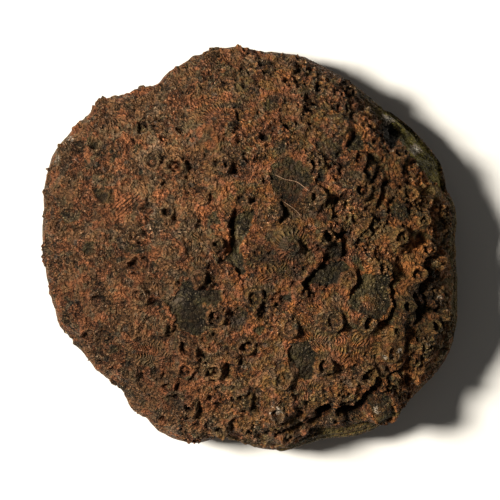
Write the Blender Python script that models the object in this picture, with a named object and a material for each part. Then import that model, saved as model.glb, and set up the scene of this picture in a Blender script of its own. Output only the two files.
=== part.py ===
"""Fossil coral head: a low-domed colony of rugose coral turned to stone, cut off flat underneath.

Metres, +Z up. The origin is the centre of the bounding box at the bottom, so the cut face lies on z = 0.
The head grew as one skeleton, so it is one closed solid.
"""

import math

import bmesh
import bpy
from mathutils import Vector, noise

# ---------------------------------------------------------------- driving dimensions
UNIT = 0.00028          # one unit of the outline drawing below, in metres
RIM_LEVEL = 0.0125      # height of the widest level above the cut
DOME_RISE = 0.0270      # rise of the dome above the widest level
KEEL_DEPTH = 0.0200     # how far the underside would run below the widest level if it weren't cut
DOME_SQUARE = 2.25      # roundness of the dome seen from the side: 2 is an ellipse, more is boxier
KEEL_SQUARE = 2.70      # the same for the underside
SWELL = 0.0011          # height of the broad swells over the whole surface
SWELL_SIZE = 0.021      # their length
LEDGE_LIFT = 0.0045     # height above the widest level where the young layer's edge ends on a ledge
LEDGE_TOP = 0.0085      # height of the older layer's flat top above the widest level
SEGMENTS = 96
RINGS = 48

# Plan outline at the widest level, anticlockwise from +X, in drawing units from the middle.
OUTLINE = [
    (207, 0), (208, 28), (207, 44), (200, 58), (196, 70), (190, 87), (169, 112), (145, 134),
    (130, 143), (105, 166), (72, 185), (50, 194), (13, 197), (-21, 202), (-38, 200), (-56, 193),
    (-81, 179), (-99, 161), (-121, 155), (-147, 150), (-164, 137), (-180, 120), (-193, 102),
    (-204, 77), (-206, 60), (-204, 44), (-208, 16), (-207, -12), (-204, -40), (-198, -64),
    (-190, -83), (-178, -92), (-166, -111), (-145, -131), (-128, -144), (-119, -160),
    (-104, -170), (-80, -191), (-55, -195), (-27, -190), (5, -200), (26, -202), (41, -200),
    (70, -191), (100, -188), (121, -181), (145, -169), (175, -139), (190, -123), (201, -106),
    (206, -81), (208, -31),
]

# Broad mounds that crowd round the largest corallites: x, y, radius in drawing units, height in metres.
MOUNDS = [
    (40, 4, 40, 0.0022), (-76, -2, 40, 0.0019), (-32, 118, 36, 0.0019), (112, 58, 34, 0.0012),
    (-62, -100, 42, 0.0010), (132, -140, 30, 0.0018), (110, -70, 44, 0.0010), (-108, 46, 36, 0.0010),
    (148, 20, 34, 0.0009), (20, 150, 40, 0.0010), (-150, -60, 40, 0.0010), (30, -160, 36, 0.0011),
]

# Where the young growth layer stops short and the older one below shows as a ledge.
# Bearing of the middle, half the spread (degrees), widest part as a share of the radius.
LEDGES = [(40.0, 19.0, 0.115), (-3.0, 24.0, 0.040), (-66.0, 19.0, 0.075)]


def smooth(x):
    x = min(1.0, max(0.0, x))
    return x * x * (3.0 - 2.0 * x)


def outline_polar():
    return sorted((math.atan2(y, x) % math.tau, math.hypot(x, y) * UNIT) for x, y in OUTLINE)


POLAR = outline_polar()


def radius_at(bearing):
    """Plan radius at a bearing: a closed cubic through the outline's points."""
    b = bearing % math.tau
    n = len(POLAR)
    k = max((i for i in range(n) if POLAR[i][0] <= b), default=n - 1)
    pts = []
    for j in range(k - 1, k + 3):
        a, r = POLAR[j % n]
        turn = math.floor(j / n)
        pts.append((a + math.tau * turn, r))
    if k == n - 1 and b < POLAR[0][0]:
        b += math.tau
    (a0, r0), (a1, r1), (a2, r2), (a3, r3) = pts
    h = a2 - a1
    t = (b - a1) / h
    m1 = (r2 - r0) / (a2 - a0) * h
    m2 = (r3 - r1) / (a3 - a1) * h
    return (
        (2 * t**3 - 3 * t**2 + 1) * r1
        + (t**3 - 2 * t**2 + t) * m1
        + (-2 * t**3 + 3 * t**2) * r2
        + (t**3 - t**2) * m2
    )


def ledge_share(bearing):
    """How much of the radius the ledge takes at a bearing."""
    width = 0.0
    for middle, spread, widest in LEDGES:
        off = abs((math.degrees(bearing) - middle + 180.0) % 360.0 - 180.0)
        width = max(width, widest * smooth((spread - off) / (0.6 * spread)))
    return width


MEAN_RADIUS = sum(r for _, r in POLAR) / len(POLAR)


def body_point(bearing, tilt):
    """A point of the plain lump: tilt runs from 0 at the top to pi at the bottom."""
    s, c = math.sin(tilt), math.cos(tilt)
    if c >= 0:
        share = max(s, 0.0) ** (2.0 / DOME_SQUARE)
        # the young layer over the older one, whichever stands higher
        width = ledge_share(bearing)
        reach = share / (1.0 - width * share**5)
        lift = LEDGE_LIFT * smooth(width / 0.035) * share**5
        young = 0.0
        if reach < 1.0:
            young = lift + (DOME_RISE - lift) * math.sqrt(1.0 - reach**DOME_SQUARE)
        old = LEDGE_TOP * smooth(width / 0.02) * (1.0 - min(share, 1.0) ** 9) ** 0.5
        z = RIM_LEVEL + max(young, old)
    else:
        share = max(s, 0.0) ** (2.0 / KEEL_SQUARE)
        z = RIM_LEVEL + KEEL_DEPTH * c
    # the outline's lobes fade towards the middle
    follow = share**3
    r = share * (MEAN_RADIUS + (radius_at(bearing) - MEAN_RADIUS) * follow)
    return Vector((r * math.cos(bearing), r * math.sin(bearing), z)), share, c


def relief(point, c):
    """How far the surface stands out of the plain lump along its normal."""
    out = SWELL * noise.noise(point / SWELL_SIZE)
    out += 0.45 * SWELL * noise.noise(point / (0.45 * SWELL_SIZE) + Vector((7.1, 3.3, 1.9)))
    if c > 0:
        for x, y, reach, height in MOUNDS:
            far = math.hypot(point.x - x * UNIT, point.y - y * UNIT) / (reach * UNIT)
            if far < 1.0:
                out += height * (1.0 - smooth(far)) * smooth(c / 0.15)
    return out


def make_stone():
    stone = bpy.data.materials.new("fossil_stone")
    stone.use_nodes = True
    shader = stone.node_tree.nodes["Principled BSDF"]
    shader.inputs["Base Color"].default_value = (0.165, 0.085, 0.042, 1.0)
    shader.inputs["Roughness"].default_value = 0.82
    shader.inputs["Metallic"].default_value = 0.0
    stone.diffuse_color = (0.165, 0.085, 0.042, 1.0)
    return stone


def make_head(collection):
    mesh = bpy.data.meshes.new("coral_head")
    head = bpy.data.objects.new("coral_head", mesh)
    collection.objects.link(head)
    bm = bmesh.new()
    bmesh.ops.create_uvsphere(bm, u_segments=SEGMENTS, v_segments=RINGS, radius=1.0)

    # the ball becomes the lump, then each point moves out along the lump's normal
    where = {}
    for v in bm.verts:
        bearing = math.atan2(v.co.y, v.co.x) if math.hypot(v.co.x, v.co.y) > 1e-6 else 0.0
        tilt = math.acos(min(1.0, max(-1.0, v.co.z)))
        point, share, c = body_point(bearing, tilt)
        where[v] = c
        v.co = point
    bm.normal_update()
    moved = {v: v.co + v.normal * relief(v.co.copy(), where[v]) for v in bm.verts}
    for v, co in moved.items():
        v.co = co

    # cut off flat where it grew on its bed
    cut = bmesh.ops.bisect_plane(
        bm,
        geom=bm.verts[:] + bm.edges[:] + bm.faces[:],
        dist=1e-7,
        plane_co=(0.0, 0.0, 0.0),
        plane_no=(0.0, 0.0, -1.0),
        clear_outer=True,
    )
    rim = [e for e in cut["geom_cut"] if isinstance(e, bmesh.types.BMEdge)]
    bmesh.ops.contextual_create(bm, geom=rim)
    for v in bm.verts:
        if v.co.z < 1e-6:
            v.co.z = 0.0

    # the middle of the bounding box goes over the origin
    xs = [v.co.x for v in bm.verts]
    ys = [v.co.y for v in bm.verts]
    shift = Vector(((min(xs) + max(xs)) / 2, (min(ys) + max(ys)) / 2, 0.0))
    for v in bm.verts:
        v.co -= shift
    bmesh.ops.recalc_face_normals(bm, faces=bm.faces[:])
    bm.to_mesh(mesh)
    bm.free()
    mesh.shade_smooth()
    mesh.set_sharp_from_angle(angle=math.radians(50.0))
    mesh.materials.append(make_stone())
    return head


def main():
    for old in list(bpy.data.objects):
        bpy.data.objects.remove(old, do_unlink=True)
    collection = bpy.data.collections.new("fossil_coral_head")
    bpy.context.scene.collection.children.link(collection)
    make_head(collection)


main()
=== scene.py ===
import math

import bpy
import numpy as np
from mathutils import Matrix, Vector, kdtree, noise
from mathutils.geometry import delaunay_2d_cdt


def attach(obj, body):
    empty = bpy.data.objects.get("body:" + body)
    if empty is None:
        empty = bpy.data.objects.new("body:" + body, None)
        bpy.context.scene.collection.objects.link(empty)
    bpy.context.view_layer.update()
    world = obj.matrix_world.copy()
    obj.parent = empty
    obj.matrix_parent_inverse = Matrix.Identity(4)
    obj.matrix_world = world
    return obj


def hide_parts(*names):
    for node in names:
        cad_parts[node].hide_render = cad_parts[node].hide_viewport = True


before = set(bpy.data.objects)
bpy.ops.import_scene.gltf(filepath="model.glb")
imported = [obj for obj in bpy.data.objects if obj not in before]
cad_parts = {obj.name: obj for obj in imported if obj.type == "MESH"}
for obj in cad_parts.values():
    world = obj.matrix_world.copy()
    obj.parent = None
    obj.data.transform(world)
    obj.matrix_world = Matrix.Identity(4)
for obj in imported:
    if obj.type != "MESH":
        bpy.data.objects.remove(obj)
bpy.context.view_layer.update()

# Everything below is worked in millimetres and turned into metres when the mesh is made.
# Plan drawing: one unit is 0.28 mm, x to the right and y down, middle at (249.5, 249).
UNIT = 0.28
RIM_LEVEL = 12.5
DOME_RISE = 27.0
KEEL_DEPTH = 20.0
DOME_SQUARE = 2.25
KEEL_SQUARE = 2.70
SWELL = 1.1
SWELL_SIZE = 21.0
LEDGE_LIFT = 4.5
LEDGE_TOP = 8.5
CAM_HIGH = 800.0         # camera above the cut face

rng = np.random.default_rng(20381)

OUTLINE = [
    (207, 0), (208, 28), (207, 44), (200, 58), (196, 70), (190, 87), (169, 112), (145, 134),
    (130, 143), (105, 166), (72, 185), (50, 194), (13, 197), (-21, 202), (-38, 200), (-56, 193),
    (-81, 179), (-99, 161), (-121, 155), (-147, 150), (-164, 137), (-180, 120), (-193, 102),
    (-204, 77), (-206, 60), (-204, 44), (-208, 16), (-207, -12), (-204, -40), (-198, -64),
    (-190, -83), (-178, -92), (-166, -111), (-145, -131), (-128, -144), (-119, -160),
    (-104, -170), (-80, -191), (-55, -195), (-27, -190), (5, -200), (26, -202), (41, -200),
    (70, -191), (100, -188), (121, -181), (145, -169), (175, -139), (190, -123), (201, -106),
    (206, -81), (208, -31),
]
MOUNDS = [
    (40, 4, 40, 2.2), (-76, -2, 40, 1.9), (-32, 118, 36, 1.9), (112, 58, 34, 1.2),
    (-62, -100, 42, 1.0), (132, -140, 30, 1.8), (110, -70, 44, 1.0), (-108, 46, 36, 1.0),
    (148, 20, 34, 0.9), (20, 150, 40, 1.0), (-150, -60, 40, 1.0), (30, -160, 36, 1.1),
]
LEDGES = [(40.0, 19.0, 0.115), (-3.0, 24.0, 0.040), (-66.0, 19.0, 0.075)]

# Corallites on the drawing: x, y, rim radius, kind, height of its mound and depth of its pit in mm
#   (a shallow pit is one whose middle stands up again as a knob)
#   n: steep nodule, c: cup with a raised ring, b: closed knob, m: wide mound with long ribs, f: worn and faint
CUPS = [
    (289, 326, 9, "c", 2.6, 0.1), (247, 346, 8, "c", 2.2, 0.1), (255, 298, 9, "c", 2.2, 1.1),
    (293, 246, 6, "m", 3.0, 0.1), (258, 253, 7, "f", 1.5, 0.1), (334, 320, 9, "c", 2.6, 1.1),
    (367, 322, 8, "c", 2.6, 0.5), (348, 278, 9, "b", 1.8, 0.1), (382, 268, 8, "c", 3, 0.1),
    (414, 274, 8, "c", 3.4, 0.5), (404, 306, 7, "f", 3.4, 1.4), (390, 352, 8, "f", 2.6, 0.3),
    (324, 365, 9, "c", 2.6, 0.5), (366, 373, 9, "c", 3.4, 0.5), (283, 377, 10, "f", 1.8, 1.4),
    (277, 413, 8, "c", 1.8, 1.1), (244, 397, 9, "c", 2.2, 0.3), (383, 410, 13, "n", 4.3, 0.1),
    (436, 300, 6, "b", 0.8, 0.1), (425, 346, 8, "f", 1.4, 0.1), (345, 394, 9, "f", 0.8, 0.1),
    (395, 379, 6, "b", 2.2, 1.1), (413, 377, 5, "b", 3.4, 0.1), (440, 314, 5, "b", 3.4, 0.1),
    (397, 237, 8, "c", 3.4, 0.1), (326, 238, 8, "c", 3.4, 1.1), (421, 221, 6, "c", 3, 0.3),
    (447, 213, 8, "b", 1.7, 0.1), (408, 194, 8, "c", 1.8, 0.5), (362, 190, 10, "c", 2.2, 0.1),
    (317, 198, 9, "c", 3.4, 0.8), (316, 162, 8, "c", 1.8, 0.1), (358, 160, 7, "f", 2.2, 0.1),
    (397, 156, 8, "c", 3.4, 1.4), (365, 128, 8, "m", 1.8, 0.1), (338, 128, 9, "m", 2.6, 0.5),
    (397, 211, 8, "b", 0.5, 0.5), (345, 196, 6, "f", 0.2, 1.4), (274, 126, 7, "f", 0.5, 0.5),
    (336, 95, 8, "f", 1.4, 0.3), (318, 86, 6, "f", 0.2, 1.4), (288, 82, 8, "f", 0.5, 0.8),
    (262, 66, 7, "f", 0.8, 0.5), (246, 84, 8, "f", 0.5, 0.5), (219, 127, 9, "m", 1.1, 0.5),
    (222, 165, 9, "c", 2.2, 0.1), (176, 167, 9, "c", 1.1, 0.3), (203, 199, 6, "b", 1.4, 0.1),
    (247, 158, 7, "f", 0.5, 0.5), (180, 131, 5, "c", 1.1, 0.1), (163, 137, 6, "f", 0.2, 0.8),
    (143, 127, 9, "c", 0.2, 0.5), (107, 127, 8, "c", 1.4, 1.4), (94, 145, 7, "c", 0.8, 1.4),
    (153, 162, 9, "f", 1.4, 0.3), (157, 184, 5, "b", 0.8, 1.1), (103, 170, 10, "f", 1.1, 0.5),
    (103, 198, 8, "f", 1.1, 1.4), (72, 215, 9, "f", 0.8, 0.3), (60, 228, 8, "c", 1.4, 1.4),
    (148, 209, 9, "f", 0.8, 0.5), (168, 212, 7, "c", 1.4, 1.4), (101, 236, 7, "f", 1.8, 0.8),
    (120, 240, 6, "b", 0.8, 0.1), (135, 235, 8, "c", 1.8, 0.1), (93, 251, 9, "f", 2.2, 1.1),
    (137, 264, 9, "c", 1.4, 1.1), (174, 250, 10, "m", 2.6, 0.3), (218, 244, 6, "c", 2.6, 0.5),
    (200, 278, 8, "f", 2.6, 1.4), (141, 295, 9, "c", 1.8, 0.1), (98, 300, 9, "f", 1.1, 0.8),
    (57, 298, 7, "f", 0.2, 0.1), (92, 333, 10, "m", 1.8, 0.8), (131, 328, 10, "m", 1.8, 0.5),
    (163, 328, 7, "b", 1.8, 0.5), (188, 349, 10, "c", 1.8, 1.1), (217, 316, 9, "c", 1.1, 0.1),
    (186, 371, 8, "f", 0.2, 0.1), (168, 388, 9, "c", 0.5, 0.8), (190, 407, 8, "c", 1.1, 0.8),
    (222, 427, 9, "c", 1.8, 1.1), (213, 370, 9, "c", 2.2, 0.1), (134, 370, 8, "f", 2.2, 0.5),
    (105, 362, 8, "f", 1.1, 0.8), (165, 419, 8, "f", 1.1, 0.1), (275, 212, 8, "f", 2.4, 0.3),
    (242, 200, 7, "f", 1.1, 1.4), (252, 430, 7, "f", 1.1, 0.1),
    (301, 292, 6, "f", 2.6, 0.3), (160, 275, 7, "f", 0.2, 0.5), (300, 415, 7, "f", 0.2, 0.1),
    (192, 92, 8, "f", 0.8, 0.8), (165, 100, 7, "f", 1.1, 0.3), (127, 107, 7, "f", 0.2, 0.8),
    (212, 70, 8, "f", 0.2, 0.1), (78, 175, 8, "f", 1.1, 0.5), (126, 182, 8, "f", 0.2, 0.1),
    (66, 260, 8, "f", 0.2, 0.8), (72, 320, 7, "f", 0.5, 0.3), (395, 330, 7, "f", 3, 0.5),
    (425, 250, 7, "c", 2.2, 0.1), (375, 228, 7, "f", 0.2, 0.5), (345, 217, 7, "f", 0.2, 0.1),
    (438, 262, 6, "f", 2.2, 1.4), (430, 325, 6, "c", 3.4, 1.4), (300, 108, 7, "f", 1.4, 0.3),
    (418, 366, 6, "f", 2.2, 1.4), (300, 60, 6, "f", 0.2, 0.1),
    (204, 340, 6, "f", 0.2, 0.1), (190, 222, 7, "f", 0.8, 0.3), (378, 176, 6, "f", 0.2, 1.1),
    (425, 180, 7, "f", 0.2, 0.1), (330, 412, 4, "f", 0.2, 1.4), (86, 280, 7, "f", 0.2, 0.8),
    (60, 190, 7, "f", 0.2, 0.1),
]

# Worn smooth patches: corners on the drawing, depth in mm (minus is sunken), how smooth, tint
#   tint k: nearly black, d: dark olive-grey, h: half as dark, g: greenish brown, s: pale olive shelf
PATCHES = [
    ([(232, 217), (240, 211), (254, 210), (252, 222), (247, 233), (243, 240), (241, 252), (243, 262),
      (244, 272), (239, 277), (234, 268), (229, 262), (222, 262), (230, 250), (231, 235)], -1.5, 0.85, "d"),
    ([(162, 301), (171, 301), (178, 292), (182, 281), (190, 281), (197, 289), (207, 289), (222, 290),
      (223, 300), (217, 305), (207, 305), (205, 316), (205, 328), (200, 335), (190, 336), (181, 332),
      (175, 321), (169, 310)], -0.9, 0.85, "d"),
    ([(180, 306), (190, 303), (203, 308), (204, 328), (199, 334), (189, 334), (182, 329), (178, 318)], -0.9, 0.9, "k"),
    ([(205, 291), (221, 291), (221, 300), (207, 302)], -1.0, 0.85, "k"),
    ([(302, 366), (313, 364), (313, 376), (303, 378)], -1.1, 0.9, "k"),
    ([(385, 121), (395, 119), (399, 131), (397, 144), (390, 146), (385, 136)], -1.8, 0.7, "k"),
    ([(230, 311), (238, 307), (247, 315), (246, 325), (238, 333), (231, 329)], -0.7, 0.75, "h"),
    ([(287, 350), (292, 343), (305, 340), (312, 347), (317, 356), (312, 366), (315, 376), (306, 380),
      (298, 376), (297, 368), (289, 360)], -1.0, 0.9, "d"),
    ([(322, 265), (330, 262), (345, 261), (350, 268), (340, 275), (337, 284), (326, 287), (312, 284),
      (304, 289), (303, 282), (312, 273)], -1.4, 0.8, "d"),
    ([(325, 250), (333, 241), (345, 245), (346, 258), (335, 262), (326, 260)], -1.1, 0.7, "g"),
    ([(357, 291), (358, 275), (380, 274), (389, 277), (389, 300), (387, 315), (378, 319), (366, 314),
      (351, 310), (349, 300)], -0.25, 0.9, "d"),
    ([(350, 255), (360, 250), (363, 262), (366, 271), (356, 271)], -0.3, 0.7, "g"),
    ([(271, 165), (285, 156), (300, 161), (312, 170), (314, 182), (301, 190), (297, 205), (283, 200),
      (272, 188)], -0.6, 0.65, "g"),
    ([(315, 143), (330, 137), (342, 142), (345, 152), (335, 163), (325, 160), (317, 152)], -0.6, 0.85, "g"),
    ([(347, 140), (360, 137), (365, 147), (358, 153), (347, 150)], -0.8, 0.8, "d"),
    ([(340, 178), (350, 170), (362, 172), (360, 184), (350, 190), (341, 187)], -0.6, 0.8, "g"),
    ([(390, 206), (400, 201), (407, 206), (407, 218), (398, 223), (391, 218)], 0.3, 0.85, "g"),
    ([(382, 121), (396, 118), (401, 130), (398, 145), (390, 148), (383, 136)], -1.6, 0.7, "d"),
    ([(254, 327), (264, 326), (266, 332), (258, 335), (253, 332)], -0.5, 0.8, "d"),
    ([(266, 95), (278, 95), (278, 108), (268, 110)], -0.4, 0.8, "g"),
    ([(274, 140), (285, 140), (286, 154), (276, 155)], -0.4, 0.7, "g"),
    ([(62, 211), (78, 210), (80, 220), (66, 223)], -0.3, 0.6, "g"),
    ([(94, 191), (112, 190), (116, 203), (100, 206)], -0.4, 0.6, "h"),
    ([(113, 238), (127, 236), (131, 244), (150, 245), (152, 252), (130, 253), (118, 248)], -0.5, 0.7, "h"),
    ([(84, 244), (98, 242), (100, 254), (88, 257)], -0.4, 0.5, "g"),
    ([(283, 296), (291, 296), (291, 302), (284, 301)], -0.5, 0.7, "d"),
    ([(364, 171), (377, 172), (377, 182), (366, 182)], -0.6, 0.6, "h"),
    ([(207, 212), (216, 210), (220, 222), (206, 226)], -0.3, 0.5, "g"),
    ([(112, 345), (122, 345), (122, 352), (113, 354)], -0.3, 0.6, "g"),
    ([(317, 172), (325, 171), (325, 181), (318, 181)], -0.7, 0.6, "d"),
    ([(150, 316), (157, 315), (157, 321), (151, 322)], -0.2, 0.7, "g"),
    ([(371, 397), (376, 393), (384, 392), (389, 397), (390, 406), (387, 414), (379, 417), (373, 414), (369, 406)], -0.9, 0.5, "g"),
    ([(380, 106), (390, 108), (402, 115), (414, 127), (426, 140), (438, 154), (450, 176), (456, 196), (446, 192),
      (438, 182), (429, 178), (422, 167), (412, 157), (402, 149), (400, 140), (402, 131), (397, 121), (386, 117)], -1.3, 0.9, "s"),
]

# Open cracks and undercuts: points on the drawing, width, depth in mm
CRACKS = [
    ([(233, 212), (230, 225), (230, 240), (228, 248), (223, 254), (220, 259)], 4.0, 2.2),
    ([(390, 276), (391, 290), (391, 306), (389, 315), (385, 320), (378, 322)], 4.5, 2.6),
    ([(303, 288), (306, 282), (313, 274), (320, 266), (324, 260)], 4.5, 1.9),
    ([(357, 271), (357, 283), (351, 291)], 3.6, 1.6),
    ([(339, 234), (342, 243), (344, 252)], 6.0, 2.8),
    ([(421, 267), (424, 276), (418, 285)], 6.5, 2.8),
    ([(411, 297), (413, 308), (416, 318)], 5.0, 2.4),
    ([(422, 296), (425, 306)], 4.5, 2.2),
    ([(440, 244), (445, 252), (449, 257)], 5.0, 2.2),
    ([(276, 436), (290, 430), (301, 426), (313, 421), (322, 417)], 3.4, 2.4, "gap"),
    ([(320, 413), (327, 409), (330, 413)], 9.5, 5.5, "gap"),
    ([(340, 413), (350, 415), (360, 413), (364, 405), (368, 397), (374, 389), (377, 380)], 9.0, 5.0, "gap"),
    ([(343, 410), (354, 411), (363, 406)], 9.0, 4.5, "gap"),
    ([(402, 331), (406, 340), (403, 350)], 3.4, 1.8),
    ([(405, 358), (398, 367), (390, 372)], 3.4, 1.8),
    ([(382, 184), (380, 195), (376, 204)], 4.5, 2.4),
    ([(371, 221), (367, 228), (362, 234)], 3.4, 1.6),
    ([(391, 128), (392, 145)], 7.0, 1.8),
    ([(401, 150), (402, 160), (402, 172)], 4.0, 1.8),
    ([(405, 150), (414, 158), (420, 167), (422, 175)], 3.0, 1.8),
    ([(281, 203), (284, 214), (280, 221)], 4.6, 1.9),
    ([(187, 159), (188, 169), (186, 177)], 5.0, 2.0),
    ([(194, 169), (192, 176)], 3.0, 1.3),
    ([(179, 179), (184, 184)], 3.6, 1.3),
    ([(151, 97), (152, 107)], 3.0, 1.5),
    ([(132, 138), (132, 140)], 3.6, 1.4, "gap"),
    ([(152, 205), (150, 212), (146, 217), (140, 221)], 2.4, 1.1),
    ([(199, 358), (197, 371), (190, 377)], 3.2, 1.8),
    ([(178, 377), (177, 386), (171, 394), (164, 398)], 3.0, 1.8),
    ([(163, 364), (164, 372), (160, 378)], 2.6, 1.3),
    ([(102, 329), (102, 336), (97, 341)], 3.2, 1.5),
    ([(179, 276), (178, 284)], 2.6, 1.3),
    ([(199, 401), (199, 411), (196, 416)], 3.0, 1.4),
    ([(231, 422), (231, 429), (226, 433)], 3.0, 1.2),
    ([(225, 364), (227, 372), (222, 379)], 3.6, 1.2),
    ([(317, 65), (317, 78), (315, 90)], 2.8, 1.6),
    ([(306, 62), (307, 75)], 2.4, 1.3),
    ([(295, 64), (292, 75)], 2.2, 1.1),
    ([(345, 90), (348, 100), (345, 112)], 3.6, 1.7),
    ([(350, 103), (350, 116)], 2.8, 1.3),
    ([(273, 62), (274, 78)], 2.0, 0.9),
    ([(351, 139), (345, 146), (338, 152)], 3.2, 1.4),
    ([(366, 156), (365, 167)], 4.6, 1.8),
    ([(375, 169), (373, 180), (368, 184)], 3.6, 1.6),
    ([(303, 108), (301, 118)], 2.4, 1.1),
    ([(296, 120), (296, 131)], 2.2, 1.0),
    ([(307, 124), (306, 136)], 2.4, 1.1),
    ([(290, 134), (289, 146)], 2.0, 0.9),
    ([(262, 135), (268, 127)], 2.4, 1.1),
    ([(258, 151), (267, 144)], 2.0, 0.8),
    ([(311, 154), (307, 160)], 3.0, 1.2),
    ([(325, 199), (325, 207), (318, 212)], 3.2, 1.4),
    ([(402, 234), (405, 245)], 5.0, 2.1),
    ([(430, 214), (434, 225), (430, 236)], 4.4, 1.9),
    ([(433, 199), (432, 208)], 3.0, 1.4),
    ([(440, 206), (440, 218), (443, 226)], 2.4, 1.4),
    ([(433, 239), (437, 248)], 3.4, 1.5),
    ([(440, 326), (441, 329)], 4.4, 1.8),
    ([(430, 331), (432, 334)], 3.4, 1.4),
    ([(102, 293), (104, 302)], 3.0, 1.1),
    ([(135, 263), (136, 270), (131, 273)], 3.4, 1.5),
    ([(142, 259), (143, 266)], 2.8, 1.2),
    ([(145, 321), (142, 326)], 3.2, 1.2),
    ([(174, 328), (170, 334), (162, 337)], 2.4, 1.4),
    ([(63, 326), (71, 325)], 2.2, 1.0),
    ([(116, 219), (117, 225)], 3.0, 1.2),
    ([(101, 214), (106, 214)], 2.4, 0.9),
    ([(213, 272), (213, 284)], 5.0, 0.8),
    ([(233, 276), (236, 279)], 3.0, 0.9),
    ([(340, 317), (342, 326), (338, 331)], 3.2, 1.4),
    ([(326, 317), (327, 324)], 2.8, 1.0),
    ([(334, 362), (337, 366)], 3.4, 1.2),
    ([(370, 383), (376, 391)], 4.0, 1.5),
    ([(262, 303), (263, 311), (258, 316)], 3.0, 1.0),
    ([(272, 296), (279, 290)], 3.0, 0.9),
    ([(299, 240), (305, 250)], 6.0, 0.9),
    ([(344, 408), (342, 415)], 4.0, 1.6),
    ([(408, 387), (414, 390)], 5.0, 2.0),
    ([(420, 290), (422, 294)], 3.6, 1.4),
    ([(432, 258), (436, 263)], 3.0, 1.2),
    ([(239, 388), (247, 386), (251, 390)], 2.2, 0.9),
    ([(207, 278), (211, 286)], 2.2, 0.8),
    ([(109, 124), (110, 130)], 4.0, 1.2),
    ([(58, 224), (56, 231), (62, 232)], 2.4, 1.1),
    ([(172, 416), (176, 420)], 2.4, 1.1),
    ([(181, 415), (182, 425)], 2.4, 1.0),
    ([(310, 192), (312, 199)], 2.8, 1.1),
    ([(250, 388), (247, 393)], 2.4, 1.0),
]

# Where the ribs still show crisply, and where iron has stained most: x, y, half widths, strength
CRISP = [
    (342, 327, 52, 28, 1.0), (388, 335, 26, 26, 1.0), (293, 246, 19, 19, 0.85), (176, 250, 30, 24, 0.9), (211, 117, 22, 20, 0.62),
    (150, 352, 22, 14, 0.9), (131, 328, 15, 14, 0.9), (300, 385, 40, 30, 0.55),
    (340, 126, 13, 13, 0.8), (402, 325, 14, 22, 0.8), (405, 288, 12, 18, 0.7), (265, 268, 26, 16, 0.8),
    (270, 360, 30, 30, 0.4), (300, 215, 24, 14, 0.5), (345, 352, 22, 14, 0.7), (190, 205, 22, 14, 0.4),
    (240, 290, 30, 22, 0.3), (120, 105, 14, 12, 0.5), (425, 225, 10, 10, 0.5), (385, 290, 30, 30, 0.2),
]
RUSTY = [
    (248, 166, 17, 13, 0.6), (268, 190, 9, 12, 0.6), (398, 243, 18, 13, 0.5), (393, 374, 14, 9, 0.5),
    (126, 206, 16, 12, 0.7),
    (325, 292, 26, 10, 1.0), (268, 322, 30, 26, 0.55), (350, 357, 28, 12, 0.7), (225, 222, 26, 24, 0.45),
    (205, 202, 9, 9, 0.9), (410, 250, 30, 26, 0.75), (380, 262, 30, 14, 0.5), (345, 278, 9, 9, 0.7),
    (372, 402, 14, 16, 0.8), (410, 378, 18, 12, 0.9), (440, 312, 10, 8, 0.8), (365, 127, 14, 11, 0.9),
    (322, 365, 14, 14, 0.5), (300, 312, 30, 16, 0.5), (105, 145, 40, 34, 0.25), (95, 300, 44, 40, 0.30),
    (220, 305, 26, 24, 0.45), (178, 298, 14, 10, 0.6), (240, 135, 30, 26, 0.35), (410, 170, 16, 22, 0.5),
    (228, 262, 14, 20, 0.5), (135, 236, 12, 10, 0.6), (215, 385, 26, 16, 0.3), (430, 275, 18, 16, 0.5),
    (255, 232, 12, 22, 0.5), (300, 440, 30, 8, 0.3), (415, 195, 12, 12, 0.4), (330, 185, 20, 14, 0.35),
]
GREENISH = [
    (396, 162, 18, 15, 0.95), (404, 316, 24, 18, 0.95), (240, 256, 10, 16, 0.6), (212, 214, 12, 9, 0.4), (188, 376, 13, 11, 0.5), (134, 268, 12, 10, 0.5), (372, 188, 14, 12, 0.35), (422, 238, 12, 12, 0.4),
    (286, 246, 24, 20, 0.42), (340, 325, 16, 12, 0.25),
    (104, 172, 18, 16, 0.8), (155, 162, 14, 12, 0.7), (143, 125, 10, 9, 0.5), (94, 145, 5, 5, 0.7),
    (244, 397, 8, 9, 0.7), (284, 377, 12, 9, 0.45), (313, 162, 7, 7, 0.7), (316, 200, 7, 7, 0.5),
    (174, 165, 10, 9, 0.6), (452, 290, 10, 60, 1.0), (440, 350, 14, 34, 0.8), (416, 140, 40, 26, 0.9),
    (438, 175, 14, 22, 0.9), (446, 215, 9, 10, 0.35), (300, 436, 60, 10, 0.5), (185, 128, 14, 14, 0.35),
    (92, 118, 8, 8, 0.6), (260, 112, 14, 12, 0.35), (92, 250, 14, 14, 0.4), (340, 98, 20, 16, 0.3),
    (400, 215, 12, 12, 0.4), (360, 240, 14, 10, 0.3), (380, 180, 22, 22, 0.25), (55, 230, 8, 60, 0.15),
    (186, 350, 10, 8, 0.3), (150, 212, 14, 10, 0.4), (160, 250, 14, 14, 0.25), (398, 385, 30, 12, 0.3),
    (222, 427, 9, 8, 0.3), (178, 298, 30, 40, 0.2),
]
FILM = [(370, 303, 12, 10, 0.7), (290, 182, 10, 12, 0.5), (204, 305, 3, 3, 1.0), (352, 182, 7, 6, 0.5)]
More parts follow.
